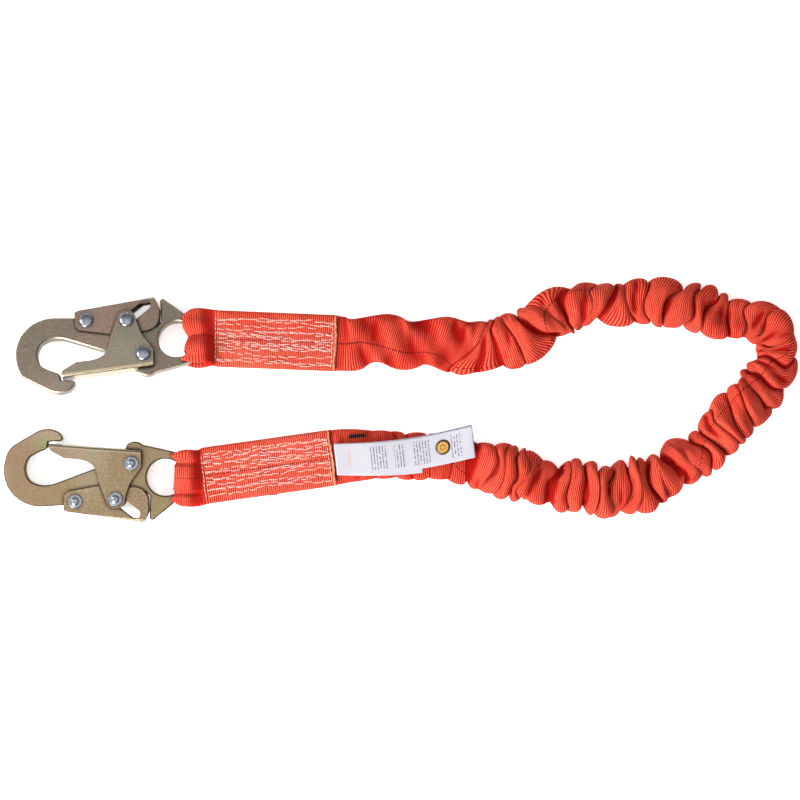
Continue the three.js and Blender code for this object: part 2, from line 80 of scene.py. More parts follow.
# ---- shader maths ----------------------------------------------------------------------------
class Signal:
    """A shader value; an expression on it adds Math nodes to its tree."""

    def __init__(self, bench: "Bench", socket: bpy.types.NodeSocket) -> None:
        """Wraps one output socket."""
        self.bench = bench
        self.socket = socket

    def math(self, operation: str, *others: Any, clamp: bool = False) -> "Signal":
        """Adds one Math node.

        Args:
            operation: the Math node's operation.
            others: numbers or signals for its further inputs.
            clamp: whether the result is kept between 0 and 1.

        Returns:
            The node's result.
        """
        values = dict(enumerate((self, *others)))
        node = self.bench.node("ShaderNodeMath", {"operation": operation, "use_clamp": clamp}, values)
        return Signal(self.bench, node.outputs[0])

    def __add__(self, other: Any) -> "Signal":
        """Sum."""
        return self.math("ADD", other)

    def __radd__(self, other: Any) -> "Signal":
        """Sum with a number on the left."""
        return self.math("ADD", other)

    def __mul__(self, other: Any) -> "Signal":
        """Product."""
        return self.math("MULTIPLY", other)

    def __rmul__(self, other: Any) -> "Signal":
        """Product with a number on the left."""
        return self.math("MULTIPLY", other)

    def __sub__(self, other: Any) -> "Signal":
        """Difference."""
        return self.math("SUBTRACT", other)

    def __rsub__(self, other: Any) -> "Signal":
        """A number less this value."""
        return (self * -1.0) + other

    def __truediv__(self, other: float) -> "Signal":
        """Quotient by a number."""
        return self.math("DIVIDE", other)

    def __pow__(self, other: float) -> "Signal":
        """Power."""
        return self.math("POWER", other)

    def wave(self, pitch: float) -> "Signal":
        """A rounded ridge for each pitch, 0 in the groove and 1 on the crest."""
        return (self * (math.pi / pitch)).math("SINE").math("ABSOLUTE")

    def inside(self, low: float, high: float, soft: float) -> "Signal":
        """A mask of 1 where the value lies between two limits.

        Args:
            low: lower limit.
            high: upper limit.
            soft: width of the soft edge.

        Returns:
            The mask.
        """
        middle, half = (low + high) / 2, (high - low) / 2
        away = (self - middle).math("ABSOLUTE")
        return ((half - away) / soft + 0.5).math("MULTIPLY", 1.0, clamp=True)

    def held(self) -> "Signal":
        """The value kept between 0 and 1."""
        return self.math("ADD", 0.0, clamp=True)

    def repeat(self, period: float) -> "Signal":
        """The value's remainder in each period."""
        return self.math("FLOORED_MODULO", period)


class Bench:
    """A material's node tree while a finish is laid into it."""

    def __init__(self, name: str) -> None:
        """Makes the material with a Principled shader on its output."""
        self.material = bpy.data.materials.new(name)
        self.material.use_nodes = True
        self.tree = self.material.node_tree
        self.tree.nodes.clear()
        self.shader = self.node("ShaderNodeBsdfPrincipled")
        self.node("ShaderNodeOutputMaterial", {}, {0: self.shader.outputs[0]})

    def node(
        self, kind: str, settings: dict[str, Any] | None = None, values: dict[Any, Any] | None = None
    ) -> bpy.types.Node:
        """Adds a node.

        Args:
            kind: the node's type.
            settings: its properties; "ramp" holds a ramp's (place, colour) stops.
            values: its inputs by name or index, as numbers, colours, sockets or signals.

        Returns:
            The node.
        """
        made = self.tree.nodes.new(kind)
        for key, value in (settings or {}).items():
            if key == "ramp":
                ramp = made.color_ramp
                while len(ramp.elements) < len(value):
                    ramp.elements.new(0.5)
                for element, (place, colour) in zip(ramp.elements, value):
                    element.position = place
                    element.color = (*colour, 1.0)
            else:
                setattr(made, key, value)
        for key, value in (values or {}).items():
            self.put(made.inputs[key], value)
        return made

    def put(self, socket: bpy.types.NodeSocket, value: Any) -> None:
        """Links or sets one input socket.

        Args:
            socket: the input.
            value: a number, colour, vector, socket or signal.
        """
        if isinstance(value, Signal):
            value = value.socket
        if isinstance(value, bpy.types.NodeSocket):
            self.tree.links.new(value, socket)
        elif isinstance(value, tuple) and len(value) == 3 and socket.type == "RGBA":
            socket.default_value = (*value, 1.0)
        else:
            socket.default_value = value

    def surface(self, **values: Any) -> None:
        """Sets the Principled shader's inputs; underscores stand for spaces."""
        for key, value in values.items():
            self.put(self.shader.inputs[key.replace("_", " ")], value)

    def place(self) -> bpy.types.NodeSocket:
        """Object coordinates."""
        return self.node("ShaderNodeTexCoord").outputs["Object"]

    def cloth(self) -> tuple[Signal, Signal]:
        """The piece's cloth coordinates, along and across, in metres."""
        uv = self.node("ShaderNodeUVMap", {"uv_map": "Cloth"}).outputs[0]
        parts = self.node("ShaderNodeSeparateXYZ", {}, {0: uv})
        return Signal(self, parts.outputs[0]), Signal(self, parts.outputs[1])

    def noise(self, scale: float, detail: float = 2.0, where: Any = None) -> Signal:
        """Noise of a given scale.

        Args:
            scale: repeats in a metre.
            detail: octaves.
            where: coordinates, or None for the object's.

        Returns:
            The noise's value, from 0 to 1.
        """
        values = {"Vector": where or self.place(), "Scale": scale, "Detail": detail}
        return Signal(self, self.node("ShaderNodeTexNoise", {}, values).outputs[0])

    def mix(self, share: Any, first: Any, second: Any) -> bpy.types.NodeSocket:
        """Mixes two colours.

        Args:
            share: 0 for the first colour, 1 for the second.
            first: colour or socket.
            second: colour or socket.

        Returns:
            The mixed colour.
        """
        settings = {"data_type": "RGBA", "clamp_factor": True}
        return self.node("ShaderNodeMix", settings, {0: share, 6: first, 7: second}).outputs[2]

    def bump(self, height: Signal, rise: float, strength: float = 1.0) -> None:
        """Feeds the shader's normal from a height.

        Args:
            height: the height, about 0 to 1.
            rise: metres for a height of 1.
            strength: share of the effect.
        """
        made = self.node("ShaderNodeBump", {}, {"Strength": strength, "Distance": rise, "Height": height})
        self.surface(Normal=made.outputs[0])


# ---- finishes --------------------------------------------------------------------------------
@dataclass(frozen=True)
class ZincSteel:
    """Yellow zinc plate: an olive ground with rosy and green clouds and a fine sandy grain, broad pale
    patches of painted sheen, and painted shade near other parts.
    """

    name: str
    ground: Colour = (0.190, 0.168, 0.128)
    rose: Colour = (0.260, 0.165, 0.130)
    green: Colour = (0.180, 0.205, 0.115)
    pale: Colour = (0.46, 0.41, 0.32)
    speckle: float = 0.45
    rosiness: float = 0.25
    roughness: float = 0.42

    def material(self) -> bpy.types.Material:
        """Lays the finish."""
        bench = Bench(self.name)
        clouds = bench.noise(28, 2)
        drift = bench.noise(61, 2)
        grain = bench.noise(1500, 3)
        blush = ((clouds - 0.5) * 3.0 + self.rosiness).held()
        moss = ((drift - 0.60) * 7.0).held() * 0.6
        tint = bench.mix(blush, self.ground, self.rose)
        tint = bench.mix(moss, tint, self.green)
        # Broad pale patches: painted sheen, a reflection gradient laid into the colour.
        painted_sheen = ((bench.noise(19, 1) - 0.48) * 3.4).held()
        tint = bench.mix(painted_sheen * 0.32, tint, self.pale)
        sand = bench.noise(1150, 2)
        speck = ((grain - 0.53) * 7.0).held()
        pit = ((0.47 - sand) * 8.0).held()
        tint = bench.mix(speck * self.speckle * 1.15, tint, self.pale)
        tint = bench.mix(pit * self.speckle * 0.8, tint, (0.07, 0.058, 0.04))
        # Darker where other surfaces lie close: painted shade in corners, around raised plates and between
        # parts.
        shut = bench.node("ShaderNodeAmbientOcclusion", {"samples": 8}, {"Distance": 3.2 * MM}).outputs["AO"]
        painted_contact_shade = ((0.95 - Signal(bench, shut)) * 3.0).held()
        tint = bench.mix(painted_contact_shade * 0.92, tint, (0.022, 0.016, 0.012))
        bench.surface(Base_Color=tint, Metallic=1.0, Roughness=self.roughness + (grain - 0.5) * 0.3)
        bench.bump(grain, 0.12 * MM, 0.6)
        return bench.material


@dataclass(frozen=True)
class BrightSteel:
    """Bright blue-white zinc, lightly brushed by handling."""

    name: str
    ground: Colour = (0.27, 0.29, 0.33)
    worn: Colour = (0.13, 0.14, 0.165)
    roughness: float = 0.20

    def material(self) -> bpy.types.Material:
        """Lays the finish."""
        bench = Bench(self.name)
        rub = bench.noise(500, 4)
        tint = bench.mix(((rub - 0.5) * 3.0).math("ADD", 0.2, clamp=True), self.ground, self.worn)
        bench.surface(Base_Color=tint, Metallic=1.0, Roughness=self.roughness + rub * 0.16)
        bench.bump(rub, 0.05 * MM, 0.4)
        return bench.material


@dataclass(frozen=True)
class Webbing:
    """Ribbed tubular webbing with a dashed tracer; painted highlight on the rib crests, painted shade in the
    rib grooves, and painted shade in folds.
    """

    name: str
    ground: Colour = (0.48, 0.006, 0.005)
    # Painted highlight on the rib crests.
    crest: Colour = (0.73, 0.115, 0.066)
    # Painted shade in the rib grooves.
    groove: Colour = (0.14, 0.001, 0.001)
    # Painted shade in folds and on slopes.
    painted_shade_colour: Colour = (0.27, 0.001, 0.001)
    tracer: Colour = (0.05, 0.006, 0.006)
    rib: float = 1.45 * MM
    yarn: float = 0.55 * MM
    tracer_dash: float = 2.2 * MM
    rib_rise: float = 0.30 * MM
    has_painted_shade: bool = False

    def material(self) -> bpy.types.Material:
        """Lays the finish."""
        bench = Bench(self.name)
        along, across = bench.cloth()
        waver = (bench.noise(90, 1) - 0.5) * (0.5 * MM)
        ridge = (along + waver).wave(self.rib)
        yarn = across.wave(self.yarn)
        cloud = bench.noise(35, 2)
        # Rib crests take a lighter copy of the red as painted highlight, rib grooves a darker one as painted
        # shade.
        tone = bench.mix((ridge ** 1.6) * 0.85 + (cloud - 0.5) * 0.6, self.ground, self.crest)
        tone = bench.mix((1.0 - ridge) ** 1.8, tone, self.groove)
        # Painted shade from the piece's own attribute.
        if self.has_painted_shade:
            depth = self.depth(bench)
            tone = bench.mix(depth * 0.92, tone, self.painted_shade_colour)
        period = self.tracer_dash
        dash = along.repeat(period).inside(0.25 * period, 0.9 * period, 0.2 * MM)
        line = (across + waver * 0.6).inside(WEB_WIDTH / 2 - 0.32 * MM, WEB_WIDTH / 2 + 0.32 * MM, 0.15 * MM)
        tone = bench.mix(dash * line, tone, self.tracer)
        bench.surface(Base_Color=tone, Roughness=0.62 + yarn * 0.12, Sheen_Weight=0.02)
        bench.surface(Sheen_Roughness=0.45, Sheen_Tint=(1.0, 0.18, 0.12), Specular_IOR_Level=0.03)
        bench.bump(ridge + yarn * 0.18, self.rib_rise, 0.9)
        return bench.material

    def depth(self, bench: Bench) -> Signal:
        """The painted shade's share at each point, from the piece's own attribute."""
        return Signal(bench, bench.node("ShaderNodeAttribute", {"attribute_name": "Depth"}).outputs["Fac"])


@dataclass(frozen=True)
class Fibre:
    """A plain fibrous finish for thread, elastic and undyed core webbing."""

    name: str
    light: Colour
    dark: Colour
    twist: float = 0.5 * MM
    sheen: float = 0.2
    roughness: float = 0.7
    gloss: float = 0.3

    def material(self) -> bpy.types.Material:
        """Lays the finish."""
        bench = Bench(self.name)
        fuzz = bench.noise(1400, 3)
        place = bench.node("ShaderNodeSeparateXYZ", {}, {0: bench.place()})
        ply = (Signal(bench, place.outputs[0]) + Signal(bench, place.outputs[1]) * 0.6).wave(self.twist)
        tone = bench.mix(ply * 0.6 + (fuzz - 0.4) * 0.8, self.dark, self.light)
        bench.surface(Base_Color=tone, Roughness=self.roughness, Sheen_Weight=self.sheen)
        bench.surface(Specular_IOR_Level=self.gloss)
        bench.bump(ply + fuzz * 0.5, 0.12 * MM, 0.7)
        return bench.material


@dataclass(frozen=True)
class LabelFilm:
    """White film with small grey rules in columns, none of them lettering."""

    name: str
    film: Colour = (0.42, 0.40, 0.435)
    cool: Colour = (0.35, 0.345, 0.40)
    ink: Colour = (0.05, 0.05, 0.07)
    printed: bool = True

    def material(self) -> bpy.types.Material:
        """Lays the finish."""
        bench = Bench(self.name)
        along, across = bench.cloth()
        cloud = bench.noise(45, 1)
        tone = bench.mix(cloud * 0.9, self.film, self.cool)
        if self.printed:
            tone = bench.mix(self.rules(bench, along, across) * 0.85, tone, self.ink)
            tone = bench.mix(self.block(along, across) * 0.6, tone, (0.46, 0.30, 0.20))
        bench.surface(Base_Color=tone, Roughness=0.42, Coat_Weight=0.15, Coat_Roughness=0.3)
        bench.bump(bench.noise(240, 2), 0.15 * MM, 0.35)
        return bench.material

    def rules(self, bench: Bench, along: Signal, across: Signal) -> Signal:
        """Columns of broken rules across the film.

        Args:
            bench: the material being made.
            along: metres from the sewn edge.
            across: metres from the film's lower side.

        Returns:
            The ink's mask.
        """
        line = along.repeat(2.1 * MM).inside(0.55 * MM, 1.35 * MM, 0.2 * MM)
        columns = None
        for start, end in ((25, 38), (43, 51), (56, 69), (84.5, 93)):
            part = along.inside(start * MM, end * MM, 0.2 * MM)
            columns = part if columns is None else columns + part
        cells = bench.node(
            "ShaderNodeCombineXYZ", {}, {0: along.math("SNAP", 2.1 * MM) * 90.0, 1: across * 0.55}
        ).outputs[0]
        words = bench.noise(1500, 1, cells)
        gaps = ((words - 0.42) * 14.0).held()
        margin = across.inside(3.0 * MM, 20.0 * MM, 0.3 * MM)
        return line * columns * gaps * margin

    def block(self, along: Signal, across: Signal) -> Signal:
        """A plain band near the sewn edge."""
        return along.inside(9.0 * MM, 11.2 * MM, 0.3 * MM) * across.inside(6.5 * MM, 17.0 * MM, 0.3 * MM)


@dataclass(frozen=True)
class PrintedDisc:
    """An amber disc with a dark rim and a plain dark star-like wheel in the middle."""

    name: str
    amber: Colour = (0.50, 0.245, 0.018)
    dark: Colour = (0.05, 0.03, 0.02)
    radius: float = 5.5 * MM
    teeth: int = 16

    def material(self) -> bpy.types.Material:
        """Lays the finish."""
        bench = Bench(self.name)
        along, across = bench.cloth()
        reach = (along * along + across * across).math("SQRT")
        turn = across.math("ARCTAN2", along)
        tooth = (turn * float(self.teeth)).math("SINE") * (0.25 * MM)
        rim = (reach + tooth).inside(0.70 * self.radius, 1.4 * self.radius, 0.12 * MM)
        spokes = (turn * 3.0).math("SINE").math("ABSOLUTE").inside(0.6, 2.0, 0.2)
        wheel = reach.inside(0.22 * self.radius, 0.44 * self.radius, 0.12 * MM) * spokes
        tone = bench.mix((rim + wheel).held(), self.amber, self.dark)
        bench.surface(Base_Color=tone, Roughness=0.4)
        bench.bump(bench.noise(900, 1), 0.05 * MM, 0.3)
        return bench.material


@dataclass(frozen=True)
class CutEdge:
    """The melted, cream-coloured end of the webbing."""

    name: str
    pale: Colour = (0.86, 0.50, 0.28)
    scorched: Colour = (0.74, 0.20, 0.10)

    def material(self) -> bpy.types.Material:
        """Lays the finish."""
        bench = Bench(self.name)
        melt = bench.noise(420, 3)
        tone = bench.mix(((melt - 0.5) * 4.0).math("ADD", 0.45, clamp=True), self.pale, self.scorched)
        bench.surface(Base_Color=tone, Roughness=0.45)
        bench.bump(melt, 0.4 * MM, 0.8)
        return bench.material


class Finishes:
    """Every material of the lanyard, made once."""

    def __init__(self) -> None:
        """Makes them."""
        golden = {
            "ground": (0.215, 0.155, 0.082), "rose": (0.22, 0.135, 0.085), "green": (0.150, 0.195, 0.050),
        }
        self.body = {1: ZincSteel("hook_body_zinc").material(),
                     2: ZincSteel("hook_body_zinc_golden", **golden, rosiness=0.1).material()}
        self.lever = {1: ZincSteel("lever_zinc", rosiness=0.8).material(),
                      2: ZincSteel("lever_zinc_golden", **golden, rosiness=0.6).material()}
        self.gate = {1: ZincSteel("gate_zinc", ground=(0.25, 0.215, 0.165), rosiness=0.1).material(),
                     2: ZincSteel("gate_zinc_golden", **golden, rosiness=0.5).material()}
        # A lighter copy of the zinc for the rounded bends and the webs: painted highlight.
        self.bend = ZincSteel(
            "painted_highlight_bend_zinc", ground=(0.36, 0.30, 0.20), rose=(0.38, 0.27, 0.19),
            green=(0.34, 0.31, 0.19), pale=(0.50, 0.44, 0.33), speckle=0.15, roughness=0.3,
        ).material()
        self.rim = ZincSteel(
            "shaded_rim_zinc", ground=(0.075, 0.056, 0.036), rose=(0.085, 0.05, 0.036),
            green=(0.06, 0.062, 0.03), pale=(0.16, 0.13, 0.09), speckle=0.3, roughness=0.5,
        ).material()
        self.rivet = BrightSteel("rivet_zinc").material()
        self.spring = BrightSteel("spring_wire", roughness=0.32).material()
        self.jacket = Webbing("jacket_webbing", has_painted_shade=True).material()
        # The sewn ends: a lighter painted rib highlight and a lighter painted shade.
        self.pack = Webbing("pack_webbing", crest=(0.78, 0.150, 0.088), painted_shade_colour=(0.46, 0.008, 0.006),
                            rib_rise=0.34 * MM, has_painted_shade=True).material()
        self.cut = CutEdge("melted_edge").material()
        self.thread = Fibre("lock_thread", (0.80, 0.54, 0.48), (0.64, 0.30, 0.25)).material()
        self.core = Fibre("core_webbing_weave", (0.74, 0.70, 0.60), (0.50, 0.46, 0.38), 1.6 * MM).material()
        self.elastic = Fibre(
            "black_elastic", (0.012, 0.012, 0.014), (0.004, 0.004, 0.005), 1.1 * MM, sheen=0.0, gloss=0.08,
        ).material()
        self.film = LabelFilm("label_film_printed").material()
        self.leaf = LabelFilm("label_film_plain", printed=False).material()
        self.disc = PrintedDisc("label_disc_print").material()


# ---- geometry helpers ------------------------------------------------------------------------
class Side(Enum):
    """Which way a leg of a sewn end faces."""

    TOP = 1
    BOTTOM = -1


def smoothstep(value: np.ndarray | float, low: float, high: float) -> np.ndarray:
    """A smooth rise from 0 at low to 1 at high."""
    share = np.clip((np.asarray(value, float) - low) / (high - low), 0.0, 1.0)
    return share * share * (3.0 - 2.0 * share)


def deselect() -> None:
    """Deselects every object."""
    for item in bpy.context.selected_objects:
        item.select_set(False)


def activate(piece: bpy.types.Object) -> None:
    """Makes one object the only selected and active one."""
    deselect()
    piece.select_set(True)
    bpy.context.view_layer.objects.active = piece


def linked(name: str, data: Any) -> bpy.types.Object:
    """A new object, added to the scene."""
    piece = bpy.data.objects.new(name, data)
    bpy.context.scene.collection.objects.link(piece)
    return piece


def settle(piece: bpy.types.Object) -> None:
    """Moves a finished object's place into its mesh and applies its modifiers."""
    activate(piece)
    for modifier in list(piece.modifiers):
        bpy.ops.object.modifier_apply(modifier=modifier.name)
    bpy.ops.object.transform_apply(location=True, rotation=True, scale=True)


def grid_piece(
    name: str, points: np.ndarray, cloth: np.ndarray, closed: bool, caps: bool, finish: bpy.types.Material
) -> bpy.types.Object:
    """A surface through rows of points.

    Args:
        name: the piece's name.
        points: rows x columns x 3.
        cloth: rows x (columns, or one more where closed) x 2 cloth coordinates.
        closed: whether each row is a ring.
        caps: whether the first and last rows are filled.
        finish: its material.

    Returns:
        The new object.
    """
    rows, columns = points.shape[:2]
    steps = columns if closed else columns - 1
    row, column = np.meshgrid(np.arange(rows - 1), np.arange(steps), indexing="ij")
    nxt = (column + 1) % columns
    quads = np.stack([row * columns + column, row * columns + nxt,
                      (row + 1) * columns + nxt, (row + 1) * columns + column], -1).reshape(-1, 4)
    uv = np.stack([cloth[row, column], cloth[row, column + 1],
                   cloth[row + 1, column + 1], cloth[row + 1, column]], 2).reshape(-1, 2)
    faces = quads.tolist()
    if caps:
        last = (rows - 1) * columns
        faces.append(list(range(columns))[::-1])
        faces.append([last + c for c in range(columns)])
        uv = np.vstack([uv, cloth[0, :columns][::-1], cloth[-1, :columns]])
    mesh = bpy.data.meshes.new(name)
    mesh.from_pydata(points.reshape(-1, 3).tolist(), [], faces)
    layer = mesh.uv_layers.new(name="Cloth")
    layer.data.foreach_set("uv", uv.astype(np.float32).ravel())
    mesh.materials.append(finish)
    mesh.shade_smooth()
    mesh.update()
    return linked(name, mesh)


def frame_of(origin: Vector, along: Vector, up: Vector) -> Matrix:
    """A placing matrix.

    Args:
        origin: its origin.
        along: its X axis.
        up: roughly its Z axis.

    Returns:
        The matrix.
    """
    x = along.normalized()
    y = up.cross(x).normalized()
    z = x.cross(y)
    turn = Matrix((x, y, z)).transposed()
    return Matrix.Translation(origin) @ turn.to_4x4()


def laid(points: np.ndarray, matrix: Matrix) -> np.ndarray:
    """Points moved by a matrix."""
    grid = np.array(matrix)
    return points @ grid[:3, :3].T + grid[:3, 3]


def joint(name: str) -> dict[str, Any]:
    """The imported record's row of one joint."""
    return next(row for row in frame["record"]["behaviour"]["joints"] if row["name"] == name)


class Route:
    """The jacket's centre line, measured by length along it."""

    def __init__(self, points: Sequence[tuple[float, float]], height: float, steps: int = 24) -> None:
        """Samples the curve through the given points.

        Args:
            points: the points, in millimetres.
            height: the centre line's height.
            steps: samples in each span.
        """
        knots = np.array(points, float) * MM
        knots = np.vstack([2 * knots[0] - knots[1], knots, 2 * knots[-1] - knots[-2]])
        line = []
        for i in range(1, len(knots) - 2):
            line.append(self.span(knots[i - 1:i + 3], np.linspace(0, 1, steps, endpoint=False)))
        line.append(knots[-2:-1])
        flat = np.vstack(line)
        self.points = np.column_stack([flat, np.full(len(flat), height)])
        gaps = np.linalg.norm(np.diff(self.points, axis=0), axis=1)
        self.marks = np.concatenate([[0.0], np.cumsum(gaps)])
        self.length = float(self.marks[-1])

    @staticmethod
    def span(four: np.ndarray, share: np.ndarray) -> np.ndarray:
        """Centripetal curve between the middle two of four points.

        Args:
            four: the four points.
            share: places from 0 to 1.

        Returns:
            The curve's points.
        """
        a, b, c, d = four
        t0, t1, t2 = (math.sqrt(float(np.linalg.norm(q - p))) for p, q in ((a, b), (b, c), (c, d)))
        start = ((b - a) / t0 - (c - a) / (t0 + t1) + (c - b) / t1) * t1
        end = ((c - b) / t1 - (d - b) / (t1 + t2) + (d - c) / t2) * t1
        s = share[:, None]
        return ((2 * s**3 - 3 * s**2 + 1) * b + (s**3 - 2 * s**2 + s) * start
                + (3 * s**2 - 2 * s**3) * c + (s**3 - s**2) * end)

    def at(self, along: np.ndarray) -> np.ndarray:
        """Points at lengths along the line, which runs on straight past its ends."""
        inside = np.clip(along, 0, self.length)
        found = np.stack([np.interp(inside, self.marks, self.points[:, k]) for k in range(3)], -1)
        return found + (along - inside)[..., None] * self.heading(inside)

    def across(self, along: np.ndarray) -> np.ndarray:
        """Unit direction across the line, level with the floor."""
        way = self.heading(along)
        return np.stack([-way[..., 1], way[..., 0], np.zeros_like(along)], -1)

    def heading(self, along: np.ndarray) -> np.ndarray:
        """Unit direction of the line, smoothed over a few millimetres."""
        reach = 4 * MM
        low = np.clip(along - reach, 0, self.length)
        high = np.clip(along + reach, 0, self.length)
        ends = [np.stack([np.interp(s, self.marks, self.points[:, k]) for k in range(3)], -1)
                for s in (low, high)]
        way = ends[1] - ends[0]
        return way / np.linalg.norm(way, axis=-1, keepdims=True)


# ---- studio ----------------------------------------------------------------------------------
@dataclass
class Studio:
    """Pale floor, soft lights and the camera straight above."""

    middle: tuple[float, float] = (0.1164, 0.0068)
    view_width: float = 0.584
    height: float = 1.7
    floor_tone: Colour = (0.93, 0.93, 0.93)

    def build(self) -> None:
        """Adds the camera, floor, world and lights."""
        self.camera()
        self.floor()
        self.world(0.45)
        x, y = self.middle
        self.light("overhead", (x, y + 0.1, 2.6), (x, y, 0), 2.8, 26)
        self.light("front_key", (x - 0.95, y - 1.15, 0.95), (x, y, 0), 0.7, 60)
        self.light("left_fill", (x - 1.3, y + 0.25, 0.8), (x, y, 0), 0.7, 12)
        bpy.context.scene.view_settings.view_transform = "Standard"

    def camera(self) -> None:
        """Adds the camera."""
        data = bpy.data.cameras.new("camera")
        data.sensor_width = 36
        data.lens = data.sensor_width * self.height / self.view_width
        data.clip_end = 20
        seat = linked("camera", data)
        seat.location = (*self.middle, self.height)
        bpy.context.scene.camera = seat

    def floor(self) -> None:
        """Adds the floor."""
        deselect()
        bpy.ops.mesh.primitive_plane_add(size=14, location=(*self.middle, -0.0004))
        floor = bpy.context.object
        floor.name = "floor"
        bench = Bench("pale_floor")
        bench.surface(Base_Color=self.floor_tone, Roughness=0.9, Specular_IOR_Level=0.1)
        bench.surface(Emission_Color=(1.0, 1.0, 1.0), Emission_Strength=0.52)
        floor.data.materials.append(bench.material)

    def world(self, strength: float) -> None:
        """Adds a white surround."""
        world = bpy.data.worlds.new("surround")
        world.use_nodes = True
        nodes, links = world.node_tree.nodes, world.node_tree.links
        back = nodes["Background"]
        back.inputs[1].default_value = strength
        where = nodes.new("ShaderNodeTexCoord")
        parts = nodes.new("ShaderNodeSeparateXYZ")
        ramp = nodes.new("ShaderNodeValToRGB")
        stops = ramp.color_ramp.elements
        stops[0].position, stops[0].color = 0.05, (0.22, 0.21, 0.20, 1)
        stops[1].position, stops[1].color = 0.75, (1, 1, 1, 1)
        links.new(where.outputs["Generated"], parts.inputs[0])
        links.new(parts.outputs[2], ramp.inputs[0])
        links.new(ramp.outputs[0], back.inputs[0])
        bpy.context.scene.world = world

    def light(
        self, name: str, place: tuple[float, float, float], aim: tuple[float, float, float],
        size: float, power: float,
    ) -> None:
        """Adds one square soft light.

        Args:
            name: its name.
            place: where it stands.
            aim: where it points.
            size: its side.
            power: its power in watts.
        """
        data = bpy.data.lights.new(name, "AREA")
        data.shape = "SQUARE"
        data.size = size
        data.energy = power
        lamp = linked(name, data)
        lamp.location = place
        way = Vector(aim) - Vector(place)
        lamp.rotation_mode = "QUATERNION"
        lamp.rotation_quaternion = way.to_track_quat("-Z", "Y")


# ---- jacket ----------------------------------------------------------------------------------
@dataclass
class Stretch:
    """How the jacket is gathered at one place along its run, in millimetres and degrees."""

    at: float
    half_width: float
    half_height: float
    pitch: float
    depth: float
    tilt: float
    twist: float


